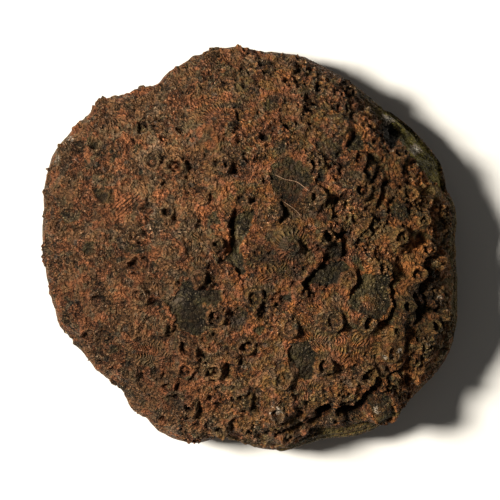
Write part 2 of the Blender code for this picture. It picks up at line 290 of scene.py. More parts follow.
MAUVE = [
    (284, 246, 22, 18, 1.0), (104, 172, 17, 15, 1.0), (152, 163, 17, 16, 0.9), (146, 209, 17, 13, 0.9), (72, 215, 10, 8, 0.7),
    (178, 122, 14, 12, 0.7), (214, 262, 14, 16, 0.7), (242, 264, 9, 10, 0.6), (110, 240, 16, 12, 0.6), (165, 200, 7, 6, 0.7),
    (176, 297, 15, 10, 1.0), (190, 288, 8, 8, 0.7), (192, 238, 30, 16, 1.0), (140, 218, 14, 12, 0.6), (165, 118, 22, 18, 0.4),
    (258, 253, 12, 12, 0.5), (300, 170, 14, 12, 0.5), (330, 152, 10, 9, 0.6), (368, 281, 14, 6, 0.4),
    (345, 185, 12, 10, 0.5), (240, 320, 9, 10, 0.9), (60, 165, 12, 16, 0.4), (240, 232, 6, 10, 0.5),
]
PALE = [
    (66, 141, 7, 9, 1.0), (58, 160, 5, 6, 0.8), (94, 122, 4, 4, 0.9), (389, 116, 8, 5, 2.0), (419, 147, 7, 6, 2.0),
    (389, 355, 8, 4, 1.0), (396, 349, 5, 3, 0.8), (277, 411, 8, 7, 0.9), (375, 405, 3, 10, 0.75), (436, 300, 5, 5, 0.9),
    (346, 396, 5, 3, 0.7), (425, 345, 4, 4, 0.8), (432, 362, 4, 3, 0.6), (337, 96, 4, 5, 0.6), (392, 151, 5, 4, 0.8),
    (262, 62, 4, 5, 0.5), (272, 125, 3, 7, 0.5), (216, 53, 6, 3, 0.5), (188, 406, 4, 4, 0.6), (381, 297, 2, 3, 0.7),
    (280, 323, 3, 3, 0.5), (46, 186, 3, 5, 0.6), (173, 118, 9, 7, 0.45), (129, 97, 5, 3, 0.5), (396, 113, 3, 3, 0.6),
    (392, 392, 4, 3, 0.7), (298, 60, 5, 3, 0.4), (320, 196, 3, 3, 0.4), (247, 224, 3, 4, 0.4), (441, 218, 5, 5, 0.4),
]

# Ground painted lighter (plus) or darker (minus), partly stains and partly painted light and shade: x, y, half widths,
# strength
STAIN_LIGHT_AND_SHADE_SPOTS = [
    (152, 184, 58, 62, 0.30), (160, 151, 20, 22, 0.40), (163, 110, 15, 12, 0.32), (138, 243, 14, 11, 0.40), (143, 230, 22, 17, 0.20), (163, 320, 14, 12, 0.32), (214, 372, 17, 15, 0.40), (214, 318, 12, 13, 0.24), (266, 374, 13, 13, 0.10),
    (243, 421, 34, 15, 0.20), (242, 133, 15, 13, 0.34), (215, 207, 15, 26, 0.14), (239, 241, 11, 15, 0.70), (234, 263, 9, 9, 0.40), (275, 319, 22, 12, 0.28),
    (267, 164, 13, 12, 0.24), (293, 345, 12, 11, 0.18), (320, 397, 14, 12, 0.26), (317, 160, 14, 11, 0.22), (346, 213, 12, 11, 0.58), (318, 216, 12, 9, -0.44),
    (371, 298, 17, 22, 0.50), (371, 264, 14, 10, 0.26), (318, 236, 12, 10, 0.16), (402, 250, 26, 20, 0.10), (424, 189, 12, 17, 0.80), (113, 304, 26, 22, 0.16),
    (216, 88, 18, 12, 0.10), (165, 212, 16, 12, 0.20), (220, 394, 24, 14, 0.20), (212, 160, 16, 14, 0.20), (70, 216, 9, 6, 0.40), (419, 147, 8, 7, 0.80), (390, 115, 9, 5, 0.80), (240, 320, 10, 10, -0.50),
    (293, 158, 13, 11, -0.34), (291, 188, 17, 19, -0.66), (336, 251, 10, 9, -0.40), (187, 318, 14, 15, -0.20), (293, 214, 12, 12, -0.42), (295, 239, 14, 12, -0.16), (277, 261, 32, 28, -0.44),
    (333, 265, 20, 17, -0.34), (316, 290, 12, 10, -0.26), (344, 162, 15, 13, -0.22), (383, 168, 25, 22, -0.34), (397, 139, 14, 15, -0.42),
    (372, 213, 13, 11, -0.20), (393, 202, 20, 24, -0.28), (315, 137, 14, 12, -0.16), (345, 87, 15, 11, -0.30), (241, 85, 13, 12, -0.18), (424, 301, 14, 40, -0.50),
    (407, 305, 17, 24, -0.38), (373, 399, 14, 13, -0.34), (338, 420, 26, 10, -0.28), (197, 291, 18, 14, -0.16), (214, 136, 15, 14, -0.36),
    (113, 202, 15, 24, -0.36), (92, 311, 26, 30, -0.22), (82, 244, 26, 20, 0.14), (162, 388, 34, 24, -0.26), (392, 354, 23, 19, -0.24), (150, 346, 28, 17, -0.24),
]


# ------------------------------------------------------------------ helpers
def smooth(x):
    x = np.clip(x, 0.0, 1.0)
    return x * x * (3.0 - 2.0 * x)


def mixed(a, b, w):
    return a + (b - a) * w


def lattice(ix, iy, iz, seed):
    h = (ix.astype(np.uint32) * np.uint32(374761393) + iy.astype(np.uint32) * np.uint32(668265263)
         + iz.astype(np.uint32) * np.uint32(2147483647) + np.uint32(seed) * np.uint32(1274126177))
    h = (h ^ (h >> np.uint32(13))) * np.uint32(1103515245)
    h = (h ^ (h >> np.uint32(16))) * np.uint32(2246822519)
    return h ^ (h >> np.uint32(15))


def wave(p, size, seed):
    """Smooth noise between about -1 and 1 at points p, with lumps about size apart."""
    q = p / size
    base = np.floor(q)
    f = q - base
    i = base.astype(np.int64)
    u = f * f * f * (f * (f * 6.0 - 15.0) + 10.0)
    out = np.zeros(len(p))
    for dx in (0, 1):
        wx = u[:, 0] if dx else 1.0 - u[:, 0]
        for dy in (0, 1):
            wy = u[:, 1] if dy else 1.0 - u[:, 1]
            for dz in (0, 1):
                wz = u[:, 2] if dz else 1.0 - u[:, 2]
                h = lattice(i[:, 0] + dx, i[:, 1] + dy, i[:, 2] + dz, seed)
                gx = ((h & np.uint32(1023)).astype(float) / 511.5) - 1.0
                gy = (((h >> np.uint32(10)) & np.uint32(1023)).astype(float) / 511.5) - 1.0
                gz = (((h >> np.uint32(20)) & np.uint32(1023)).astype(float) / 511.5) - 1.0
                dot = gx * (f[:, 0] - dx) + gy * (f[:, 1] - dy) + gz * (f[:, 2] - dz)
                out += wx * wy * wz * dot
    return out * 1.6


def rough(p, size, seed, octaves=3, keep=0.5):
    out = np.zeros(len(p))
    amp = 1.0
    for k in range(octaves):
        out += amp * wave(p, size, seed + 17 * k)
        size *= 0.5
        amp *= keep
    return out


def beads(p, size, seed, jitter=0.9):
    """Distance to the nearest and second nearest of scattered points about size apart, in units of size."""
    q = p / size
    base = np.floor(q).astype(np.int64)
    f1 = np.full(len(p), 9.0)
    f2 = np.full(len(p), 9.0)
    for dx in (-1, 0, 1):
        for dy in (-1, 0, 1):
            for dz in (-1, 0, 1):
                c = base + np.array([dx, dy, dz])
                h = lattice(c[:, 0], c[:, 1], c[:, 2], seed)
                jx = ((h & np.uint32(1023)).astype(float) / 1023.0 - 0.5) * jitter + 0.5
                jy = (((h >> np.uint32(10)) & np.uint32(1023)).astype(float) / 1023.0 - 0.5) * jitter + 0.5
                jz = (((h >> np.uint32(20)) & np.uint32(1023)).astype(float) / 1023.0 - 0.5) * jitter + 0.5
                d = np.sqrt((c[:, 0] + jx - q[:, 0]) ** 2 + (c[:, 1] + jy - q[:, 1]) ** 2 + (c[:, 2] + jz - q[:, 2]) ** 2)
                closer = d < f1
                f2 = np.where(closer, f1, np.minimum(f2, d))
                f1 = np.where(closer, d, f1)
    return f1, f2


# ------------------------------------------------------------------ the lump, as in the CAD
POLAR = sorted((math.atan2(y, x) % math.tau, math.hypot(x, y) * UNIT) for x, y in OUTLINE)
MEAN_RADIUS = sum(r for _, r in POLAR) / len(POLAR)


def radius_once(b):
    n = len(POLAR)
    b = b % math.tau
    k = max((i for i in range(n) if POLAR[i][0] <= b), default=n - 1)
    pts = [(POLAR[j % n][0] + math.tau * math.floor(j / n), POLAR[j % n][1]) for j in range(k - 1, k + 3)]
    if k == n - 1 and b < POLAR[0][0]:
        b += math.tau
    (a0, r0), (a1, r1), (a2, r2), (a3, r3) = pts
    h = a2 - a1
    t = (b - a1) / h
    m1 = (r2 - r0) / (a2 - a0) * h
    m2 = (r3 - r1) / (a3 - a1) * h
    return ((2 * t**3 - 3 * t**2 + 1) * r1 + (t**3 - 2 * t**2 + t) * m1
            + (-2 * t**3 + 3 * t**2) * r2 + (t**3 - t**2) * m2)


TABLE_B = np.linspace(0.0, math.tau, 3601)
TABLE_R = np.array([radius_once(b) for b in TABLE_B])


def radius_at(a):
    return np.interp(np.mod(a, math.tau), TABLE_B, TABLE_R)


def ledge_share(a):
    deg = np.degrees(a)
    width = np.zeros_like(a)
    for middle, spread, widest in LEDGES:
        off = np.abs(np.mod(deg - middle + 180.0, 360.0) - 180.0)
        width = np.maximum(width, widest * smooth((spread - off) / (0.6 * spread)))
    return width


def lump(a, tilt, ledges=True):
    """Points of the plain lump, with the share of the radius, the cosine of the tilt and how far a point is on the ledge."""
    s, c = np.sin(tilt), np.cos(tilt)
    top = c >= 0
    share = np.where(top, np.maximum(s, 0.0) ** (2.0 / DOME_SQUARE), np.maximum(s, 0.0) ** (2.0 / KEEL_SQUARE))
    width = ledge_share(a) if ledges else np.zeros_like(a)
    if ledges:
        spot = np.stack([np.cos(a) * 40.0, np.sin(a) * 40.0, tilt * 6.0], axis=1)
        width = width * (1.0 + 0.28 * wave(spot, 4.2, 91) + 0.16 * wave(spot, 1.7, 92))
    reach = share / (1.0 - width * share**5)
    lift = LEDGE_LIFT * smooth(width / 0.035) * share**5
    young = np.where(reach < 1.0, lift + (DOME_RISE - lift) * np.sqrt(np.maximum(0.0, 1.0 - np.minimum(reach, 1.0) ** DOME_SQUARE)), 0.0)
    old = LEDGE_TOP * smooth(width / 0.02) * np.sqrt(np.maximum(0.0, 1.0 - np.minimum(share, 1.0) ** 9))
    z = np.where(top, RIM_LEVEL + np.maximum(young, old), RIM_LEVEL + KEEL_DEPTH * c)
    over = np.where(top, smooth((old - young) / 1.2 + 0.5) * smooth(width / 0.02), 0.0)
    r = share * (MEAN_RADIUS + (radius_at(a) - MEAN_RADIUS) * share**3)
    return np.stack([r * np.cos(a), r * np.sin(a), z], axis=1), share, c, over


def swells(p, c):
    out = np.empty(len(p))
    for i, q in enumerate(p):
        v = Vector(q)
        out[i] = SWELL * noise.noise(v / SWELL_SIZE) + 0.45 * SWELL * noise.noise(v / (0.45 * SWELL_SIZE) + Vector((7.1, 3.3, 1.9)))
    for x, y, reach, height in MOUNDS:
        far = np.hypot(p[:, 0] - x * UNIT, p[:, 1] - y * UNIT) / (reach * UNIT)
        out += np.where(c > 0, height * (1.0 - smooth(far)) * smooth(c / 0.15), 0.0)
    return out


def facing(a, tilt):
    """Outward normals of the lump without its ledges."""
    e = 1e-3
    tilt = np.maximum(tilt, 0.02)
    du = lump(a, tilt + e, False)[0] - lump(a, tilt - e, False)[0]
    dv = lump(a + e, tilt, False)[0] - lump(a - e, tilt, False)[0]
    n = np.cross(du, dv)
    n /= np.linalg.norm(n, axis=1)[:, None] + 1e-12
    return n


# arc length down the mean profile turns the surface into a flat map: s is the distance from the top
TILT_BASE = math.acos(-RIM_LEVEL / KEEL_DEPTH)
tt = np.linspace(0.0, TILT_BASE, 4001)
mean_profile = np.stack([
    np.where(np.cos(tt) >= 0, np.sin(tt) ** (2.0 / DOME_SQUARE), np.sin(tt) ** (2.0 / KEEL_SQUARE)) * MEAN_RADIUS,
    np.where(np.cos(tt) >= 0, DOME_RISE * np.cos(tt), KEEL_DEPTH * np.cos(tt))], axis=1)
arc = np.concatenate([[0.0], np.cumsum(np.linalg.norm(np.diff(mean_profile, axis=0), axis=1))])
S_BASE = arc[-1]
S_RIM = float(np.interp(math.pi / 2, tt, arc))


def to_tilt(s):
    return np.interp(s, arc, tt)


def ring_radius(s):
    return np.interp(s, arc, mean_profile[:, 0])


def spread(d):
    """Flat map point to bearing and tilt."""
    s = np.hypot(d[:, 0], d[:, 1])
    a = np.arctan2(d[:, 1], d[:, 0])
    return a, to_tilt(s), s


# middle of the plan, as the CAD sets it
grid_a, grid_s = np.meshgrid(np.linspace(0, math.tau, 241)[:-1], np.linspace(0.5, S_BASE, 120), indexing="ij")
ga, gs = grid_a.ravel(), grid_s.ravel()
gp, gshare, gc, gover = lump(ga, to_tilt(gs))
gp = gp + facing(ga, to_tilt(gs)) * swells(gp, gc)[:, None]
MIDDLE = np.array([(gp[:, 0].min() + gp[:, 0].max()) / 2, (gp[:, 1].min() + gp[:, 1].max()) / 2, 0.0])


def drawn(p):
    """Where a point of the surface falls on the drawing, seen from straight above at CAM_HIGH."""
    k = (CAM_HIGH - RIM_LEVEL) / (CAM_HIGH - p[:, 2]) / UNIT
    return np.stack([249.5 + (p[:, 0] - MIDDLE[0]) * k, 249.0 - (p[:, 1] - MIDDLE[1]) * k], axis=1)


# ------------------------------------------------------------------ corallite centres
def surface(a, tilt):
    p, share, c, over = lump(a, tilt)
    return p + facing(a, tilt) * swells(p, c)[:, None]


top = gc > 0.02
seen = drawn(gp[top])
tree = kdtree.KDTree(len(seen))
for i, q in enumerate(seen):
    tree.insert((q[0], q[1], 0.0), i)
tree.balance()
ta, ts = ga[top], gs[top]
cup_a, cup_s = [], []
for x, y, r, kind, _, _ in CUPS:
    _, i, _ = tree.find((x, y, 0.0))
    cup_a.append(ta[i])
    cup_s.append(ts[i])
cup_a, cup_s = np.array(cup_a), np.array(cup_s)
want = np.array([c[:2] for c in CUPS], float)
for _ in range(4):
    e = 0.02
    here = drawn(surface(cup_a, to_tilt(cup_s)))
    by_s = (drawn(surface(cup_a, to_tilt(cup_s + e))) - here) / e
    by_a = (drawn(surface(cup_a + e / 30.0, to_tilt(cup_s))) - here) / e
    miss = want - here
    det = by_s[:, 0] * by_a[:, 1] - by_s[:, 1] * by_a[:, 0]
    det = np.where(np.abs(det) < 0.05, 0.05, det)
    ds = (miss[:, 0] * by_a[:, 1] - miss[:, 1] * by_a[:, 0]) / det
    da = (by_s[:, 0] * miss[:, 1] - by_s[:, 1] * miss[:, 0]) / det
    cup_s = np.clip(cup_s + np.clip(ds, -0.6, 0.6), 0.3, S_RIM - 0.6)
    cup_a = cup_a + np.clip(da, -0.6, 0.6) / 30.0

cup_r = np.array([(1.0 if c[3] == "b" else 1.05) * c[2] * UNIT for c in CUPS])
cup_kind = [c[3] for c in CUPS]
cup_p = surface(cup_a, to_tilt(cup_s))

# the sides and the gaps fill up with corallites nobody placed by hand
extra_a, extra_s, extra_r, extra_k = [], [], [], []
placed = [p for p in cup_p]
tries = rng.random((5200, 4))
for u0, u1, u2, u3 in tries:
    s = math.sqrt(u0) * (S_RIM + 2.0)
    a = u1 * math.tau
    spot = surface(np.array([a]), np.array([float(to_tilt(s))]))[0]
    near = min(float(np.linalg.norm(spot - q)) for q in placed)
    if near < 8.2 + 1.2 * u2:
        continue
    placed.append(spot)
    extra_a.append(a)
    extra_s.append(s)
    extra_r.append(1.9 + 0.7 * u3)
    extra_k.append("f" if u2 < 0.45 else "c")
cup_a = np.concatenate([cup_a, extra_a])
cup_s = np.concatenate([cup_s, extra_s])
cup_r = np.concatenate([cup_r, extra_r])
cup_kind += extra_k
cup_p = surface(cup_a, to_tilt(cup_s))
N_CUPS = len(cup_r)
cup_ribs = np.where(cup_r > 2.4, 26, 24)
print("corallites", N_CUPS, "placed by hand", len(CUPS), "arc to rim", round(S_RIM, 1), "to base", round(S_BASE, 1))

KINDS = {  # reach of the mound in rim radii, how square its shoulders are, share of the height in the steep collar, lip, pit, rib depth
    "c": (1.65, 2.3, 0.46, 0.34, 1.15, 1.0),
    "n": (1.18, 4.5, 0.00, 0.20, 0.25, 0.3),
    "b": (1.25, 2.6, 0.45, 0.00, 0.10, 0.8),
    "m": (1.90, 2.2, 0.16, 0.18, 0.70, 1.0),
    "f": (1.65, 2.4, 0.34, 0.22, 0.65, 0.8),
}
reach, shoulder, cup_collar, cup_rim, cup_pit, cup_rib = np.array([KINDS[k] for k in cup_kind]).T
more = N_CUPS - len(CUPS)
cup_high = np.concatenate([[c[4] for c in CUPS], 0.5 + 1.1 * rng.random(more)])
hollow = np.concatenate([[c[5] for c in CUPS], 0.4 + 0.8 * rng.random(more)])
cup_rim = cup_rim * (0.75 + 0.5 * rng.random(N_CUPS))
cup_pit = cup_pit * (0.85 + 0.3 * rng.random(N_CUPS)) + 0.25 * np.maximum(hollow - 1.0, 0.0)
cup_knob = cup_pit * np.clip(1.05 - 0.80 * hollow, 0.0, 1.0)
cup_turn = rng.random(N_CUPS) * math.tau
collar_high = np.clip(cup_high * cup_collar, 0.0, 1.25) + np.where(cup_collar > 0.0, 0.14, 0.0)
cup_high = np.maximum(cup_high - collar_high, 0.05)
cup_twist = (rng.random(N_CUPS) - 0.5) * 0.5

# ------------------------------------------------------------------ points laid along the ribs of each corallite
RING_GAP = 0.42
S_LIMIT = S_RIM + 1.2
flat_points, flat_cup, flat_ridge, flat_r, flat_phase = [], [], [], [], []
for i in range(N_CUPS):
    d0 = np.array([cup_s[i] * math.cos(cup_a[i]), cup_s[i] * math.sin(cup_a[i])])
    out_dir = np.array([math.cos(cup_a[i]), math.sin(cup_a[i])])
    side_dir = np.array([-out_dir[1], out_dir[0]])
    ribs = int(cup_ribs[i])
    rs, ths, ridge, phase = [np.array([0.0])], [np.array([0.0])], [np.array([0.0])], [np.array([0.0])]
    r = 0.42
    while r < 9.0:
        if r < 0.8:
            n = ribs // 2
            mark = np.zeros(n)
        elif r < 2.0:
            n = ribs
            mark = np.where(np.arange(n) % 2 == 0, 1.0, -1.0)
        elif r < 4.6:
            n = 2 * ribs
            mark = np.where(np.arange(n) % 2 == 0, 1.0, -1.0)
        elif r < 5.8:
            n = 3 * ribs
            mark = np.where(np.arange(n) % 3 == 0, 1.0, -0.6)
        else:
            n = 4 * ribs
            mark = np.where(np.arange(n) % 2 == 0, 1.0, -1.0)
        th = np.arange(n) * math.tau / n
        rs.append(np.full(n, r))
        ths.append(th)
        ridge.append(mark)
        phase.append(th * ribs / math.tau)
        r += RING_GAP * (0.85 if r < 2.6 else 1.0)
    rs, ths, ridge, phase = (np.concatenate(x) for x in (rs, ths, ridge, phase))
    th = ths + cup_turn[i] + cup_twist[i] * np.maximum(0.0, rs - cup_r[i]) / 3.0
    # ribs wander instead of running straight
    spot = np.stack([d0[0] + rs * np.cos(th), d0[1] + rs * np.sin(th), np.full(len(rs), 3.0 * i % 7)], axis=1)
    th = th + (0.30 * wave(spot, 5.5, 11) + 0.10 * wave(spot, 2.2, 12)) * smooth((rs - 0.6 * cup_r[i]) / 2.5)
    u, v = rs * np.cos(th), rs * np.sin(th)
    stretch = np.clip((cup_s[i] + v) / np.maximum(ring_radius(np.clip(cup_s[i] + v, 0.01, S_BASE)), 0.01), 0.9, 1.9)
    if cup_s[i] < 12.0:
        stretch = np.ones_like(v)
    d = d0[None, :] + v[:, None] * out_dir[None, :] + (u * stretch)[:, None] * side_dir[None, :]
    flat_points.append(d)
    flat_cup.append(np.full(len(d), i))
    flat_ridge.append(ridge)
    flat_r.append(rs)
    flat_phase.append(phase)
D = np.concatenate(flat_points)
CUP = np.concatenate(flat_cup)
RIDGE = np.concatenate(flat_ridge)
PHASE = np.concatenate(flat_phase)
s_all = np.hypot(D[:, 0], D[:, 1])
ok = s_all < S_LIMIT - 0.25
D, CUP, RIDGE, PHASE = D[ok], CUP[ok], RIDGE[ok], PHASE[ok]
a_, t_, s_ = spread(D)
P_ = lump(a_, t_, False)[0]
centre_plain = lump(cup_a, to_tilt(cup_s), False)[0]


def nearest(p, k_self):
    """Distance to the own centre and to the nearest other one."""
    own = np.empty(len(p))
    other = np.empty(len(p))
    for lo in range(0, len(p), 20000):
        q = p[lo:lo + 20000]
        dist = np.linalg.norm(q[:, None, :] - centre_plain[None, :, :], axis=2) / (0.75 + 0.25 * cup_r[None, :] / 2.2)
        mine = k_self[lo:lo + 20000]
        idx = np.arange(len(q))
        own[lo:lo + 20000] = dist[idx, mine]
        dist[idx, mine] = 1e9
        other[lo:lo + 20000] = dist.min(axis=1)
    return own, other


own, other = nearest(P_, CUP)
ok = own + 0.16 < other
D, CUP, RIDGE, PHASE = D[ok], CUP[ok], RIDGE[ok], PHASE[ok]
n_top = len(D)

# underside: rings with growth wrinkles, wider spaced because the eye seldom rests there
under = []
ring_s = np.linspace(S_LIMIT, S_BASE, 28)
for k, s in enumerate(ring_s):
    n = 280
    th = (np.arange(n) + 0.5 * (k % 2)) * math.tau / n
    jit_a = 0.0 if k == len(ring_s) - 1 else 0.22
    th = th + (rng.random(n) - 0.5) * math.tau / n * jit_a
    ss = np.full(n, s) + (0.0 if k == len(ring_s) - 1 else 1.0) * (rng.random(n) - 0.5) * 0.12
    under.append(np.stack([ss * np.cos(th), ss * np.sin(th)], axis=1))
U = np.concatenate(under)
D = np.concatenate([D, U])
CUP = np.concatenate([CUP, np.full(len(U), -1)])
RIDGE = np.concatenate([RIDGE, np.zeros(len(U))])
PHASE = np.concatenate([PHASE, np.zeros(len(U))])
print("points on top", n_top, "underneath", len(U))

tri_out = delaunay_2d_cdt([Vector((x, y)) for x, y in D], [], [], 0, 1e-9)
assert len(tri_out[0]) == len(D), "points merged"
order = np.array([o[0] for o in tri_out[3]])
coords_back = np.array([(v[0], v[1]) for v in tri_out[0]])
D, CUP, RIDGE, PHASE = D[order], CUP[order], RIDGE[order], PHASE[order]
TRI = np.array([list(f) for f in tri_out[2]], dtype=np.int64)

# ------------------------------------------------------------------ shape
A, T, S = spread(D)
P, SHARE, C, OVER = lump(A, T)
NRM = facing(A, T)
low = swells(P, C)
foot = smooth(P[:, 2] / 2.5)
FLAT_P = P + NRM * (low * foot)[:, None]
PX = drawn(FLAT_P)
up = smooth((C - 0.0) / 0.06)          # 1 where the drawing can be read, 0 underneath
warp3 = FLAT_P
PXW = PX + np.stack([1.5 * rough(warp3, 3.4, 201, 2), 1.5 * rough(warp3, 3.4, 202, 2)], axis=1)


def blobs(table, soft=0.5):
    out = np.zeros(len(D))
    for x, y, wx, wy, strength in table:
        d = np.hypot((PXW[:, 0] - x) / wx, (PXW[:, 1] - y) / wy)
        out = np.maximum(out, strength * smooth((1.0 + soft - d) / (2.0 * soft)))
    return out * up


def poly_distance(q, poly):
    """Signed distance to a closed outline, negative inside."""
    pts = np.array(poly, float)
    best = np.full(len(q), 1e9)
    inside = np.zeros(len(q), bool)
    for k in range(len(pts)):
        a, b = pts[k], pts[(k + 1) % len(pts)]
        ab = b - a
        t = np.clip(((q - a) @ ab) / (ab @ ab), 0, 1)
        best = np.minimum(best, np.linalg.norm(q - (a + t[:, None] * ab), axis=1))
        crosses = ((a[1] > q[:, 1]) != (b[1] > q[:, 1])) & (
            q[:, 0] < (b[0] - a[0]) * (q[:, 1] - a[1]) / (b[1] - a[1] + 1e-12) + a[0])
        inside ^= crosses
    return np.where(inside, -best, best)


def line_distance(q, pts):
    """Distance to a bent line, and the step from the line to the point."""
    pts = np.array(pts, float)
    best = np.full(len(q), 1e9)
    off = np.zeros((len(q), 2))
    for k in range(len(pts) - 1):
        a, b = pts[k], pts[k + 1]
        ab = b - a
        t = np.clip(((q - a) @ ab) / (ab @ ab + 1e-9), 0, 1)
        step_ = q - (a + t[:, None] * ab)
        d = np.linalg.norm(step_, axis=1)
        off = np.where((d < best)[:, None], step_, off)
        best = np.minimum(best, d)
    return best, off


crisp = blobs(CRISP, 0.35)
side_crisp = smooth(0.5 + 0.9 * rough(FLAT_P, 17.0, 301, 2)) * 0.8
crisp = np.maximum(crisp, side_crisp * (1.0 - up) + 0.25 * side_crisp)
rusty = blobs(RUSTY, 0.7)
greenish = blobs(GREENISH, 0.6)
pale = blobs(PALE, 0.5)
mauve = blobs(MAUVE, 0.5)
film = blobs(FILM, 0.5)
# stains mixed with painted light and shade, from the spot table
stain_light_and_shade = np.zeros(len(D))
for x, y, wx, wy, strength in STAIN_LIGHT_AND_SHADE_SPOTS:
    off_ = np.hypot((PXW[:, 0] - x) / wx, (PXW[:, 1] - y) / wy)
    stain_light_and_shade += strength * smooth((1.6 - off_) / 1.2)
stain_light_and_shade = np.clip(stain_light_and_shade, -0.72, 0.80) * up

# patches
patch_depth = np.zeros(len(D))
patch_smooth = np.zeros(len(D))
patch_dark = np.zeros(len(D))
patch_green = np.zeros(len(D))
patch_deep = np.zeros(len(D))
patch_lip = np.zeros(len(D))
patch_shelf = np.zeros(len(D))
ragged = 1.9 * rough(FLAT_P, 1.9, 221, 3, 0.6) + 0.9 * rough(FLAT_P, 0.9, 222, 1)
for poly, depth, flatness, tint in PATCHES:
    xs = [q[0] for q in poly]
    ys = [q[1] for q in poly]
    box = (PX[:, 0] > min(xs) - 9) & (PX[:, 0] < max(xs) + 9) & (PX[:, 1] > min(ys) - 9) & (PX[:, 1] < max(ys) + 9) & (up > 0.3)
    idx = np.nonzero(box)[0]
    if not len(idx):
        continue
    sd = poly_distance(PXW[idx], poly) + ragged[idx]
    m = smooth((0.9 - sd) / 1.9)
    big = patch_smooth[idx] < m * flatness
    patch_depth[idx] = np.where(np.abs(patch_depth[idx]) > np.abs(m * depth), patch_depth[idx], m * depth)
    patch_smooth[idx] = np.where(big, m * flatness, patch_smooth[idx])
    if tint in "dkh":
        patch_dark[idx] = np.maximum(patch_dark[idx], m * (0.62 if tint == "h" else 1.0))
    if tint == "k":
        patch_deep[idx] = np.maximum(patch_deep[idx], m)
    if tint == "s":
        patch_shelf[idx] = np.maximum(patch_shelf[idx], m)
        continue
    if tint == "g":
        patch_green[idx] = np.maximum(patch_green[idx], m)
    lip = np.exp(-((sd - 2.4) / 2.6) ** 2)
    patch_lip[idx] = np.maximum(patch_lip[idx], lip)

# scarps and gaps: the ground stands higher on the upper-left side and drops off sharply beyond the line
painted_shade = np.zeros(len(D))
crack_depth = np.zeros(len(D))
crack_rise = np.zeros(len(D))
PXC = PX + np.stack([1.3 * rough(warp3, 2.4, 211, 2), 1.3 * rough(warp3, 2.4, 212, 2)], axis=1)
uneven = 0.80 + 0.45 * wave(FLAT_P, 1.6, 213)
for item in CRACKS:
    pts, width, depth = item[:3]
    gap = len(item) > 3
    xs = [q[0] for q in pts]
    ys = [q[1] for q in pts]
    pad = width + 12
    box = (PX[:, 0] > min(xs) - pad) & (PX[:, 0] < max(xs) + pad) & (PX[:, 1] > min(ys) - pad) & (PX[:, 1] < max(ys) + pad) & (up > 0.2)
    idx = np.nonzero(box)[0]
    if not len(idx):
        continue
    dist, off = line_distance(PXC[idx], pts)
    if gap:
        m = smooth((width * 0.5 + 0.9 - dist) / (0.32 * width + 0.9))
        # the gap is painted dark as shade
        painted_shade[idx] = np.maximum(painted_shade[idx], m)
        crack_depth[idx] = np.maximum(crack_depth[idx], m * depth)
        continue
    lit = smooth((off[:, 0] * -0.93 + off[:, 1] * -0.37 + 0.9) / 1.8)
    rise = 0.34 * depth * lit * np.exp(-(dist / 5.5) ** 2)
    drop = 0.80 * depth * (1.0 - lit) * np.exp(-(dist / (0.62 * width + 0.8)) ** 2) * uneven[idx]
    crack_rise[idx] = np.maximum(crack_rise[idx], rise)
    crack_depth[idx] = np.maximum(crack_depth[idx], drop)
    # a shadow is painted on the side away from the light
    painted_shade[idx] = np.maximum(painted_shade[idx], 0.75 * (1.0 - lit) * np.exp(-(dist / (0.42 * width + 0.5)) ** 2))

# corallites: mounds from all of them, collars, pits and ribs from the own one
mound = np.zeros(len(D))
wave_h = 1.0 + 0.22 * rough(FLAT_P, 4.0, 531, 2, 0.5)
lump_p = lump(A, T, False)[0]
for lo in range(0, len(D), 20000):
    q = lump_p[lo:lo + 20000]
    d = np.linalg.norm(q[:, None, :] - centre_plain[None, :, :], axis=2) / (cup_r * reach)[None, :]
    mound[lo:lo + 20000] = (cup_high[None, :] * np.exp(-d ** shoulder[None, :])).sum(axis=1)
have = CUP >= 0
k = np.where(have, CUP, 0)
r_own = np.linalg.norm(lump_p - centre_plain[k], axis=1)
x_own = r_own / cup_r[k]
lobe = rng.random((N_CUPS, 4)) * math.tau
around = PHASE * math.tau / cup_ribs[k]
coarse = smooth((285.0 - PX[:, 0]) / 130.0) * up      # the left half is weathered the coarsest
wob = 0.16 * wave(FLAT_P, 2.4, 401) + 0.08 * wave(FLAT_P, 1.1, 404)
wob += 0.07 * np.cos(2.0 * around + lobe[k, 0]) + 0.06 * np.cos(3.0 * around + lobe[k, 1])
wob = 1.0 + wob * (1.0 + 0.25 * coarse)
x_rim = x_own * wob
collar = smooth((1.17 - x_rim) / 0.33)
ring = np.exp(-((x_rim - 0.80) / 0.18) ** 2)
pit = smooth((0.75 - x_rim) / 0.32)
off_knob = np.sqrt(np.maximum(x_own ** 2 + 0.03 - 0.34 * x_own * np.cos(around + lobe[k, 2]), 0.0))
knob = np.exp(-(off_knob / 0.30) ** 2) * (0.80 + 0.5 * wave(FLAT_P, 0.9, 406))
broken = 0.30 + 0.70 * smooth(0.72 + 0.9 * wave(FLAT_P, 2.1, 402)) * (0.85 + 0.35 * np.cos(around + lobe[k, 3]))
rim_h = cup_rim[k] * ring * broken
collar_h = collar_high[k] * collar * (0.80 + 0.30 * np.cos(around + lobe[k, 3]) * (1.0 - pit) + 0.35 * wave(FLAT_P, 2.6, 407))
cup_h = collar_h + rim_h - cup_pit[k] * pit + cup_knob[k] * knob * pit
rib_reach = 0.15 + 0.85 * smooth((x_own - 1.1) / 1.3)
rib_amp = (0.014 + 0.186 * crisp) * cup_rib[k] * rib_reach
patchy = smooth(0.75 + 0.8 * wave(FLAT_P, 3.1, 403))
beaded = 0.62 + 0.75 * wave(FLAT_P, 0.95, 405)
ribs_h = RIDGE * rib_amp * mixed(patchy, 1.0, crisp) * beaded
on_side = np.where(have, 1.0, 0.0) * (1.0 - OVER) * smooth((S_RIM + 1.4 - S) / 1.5)

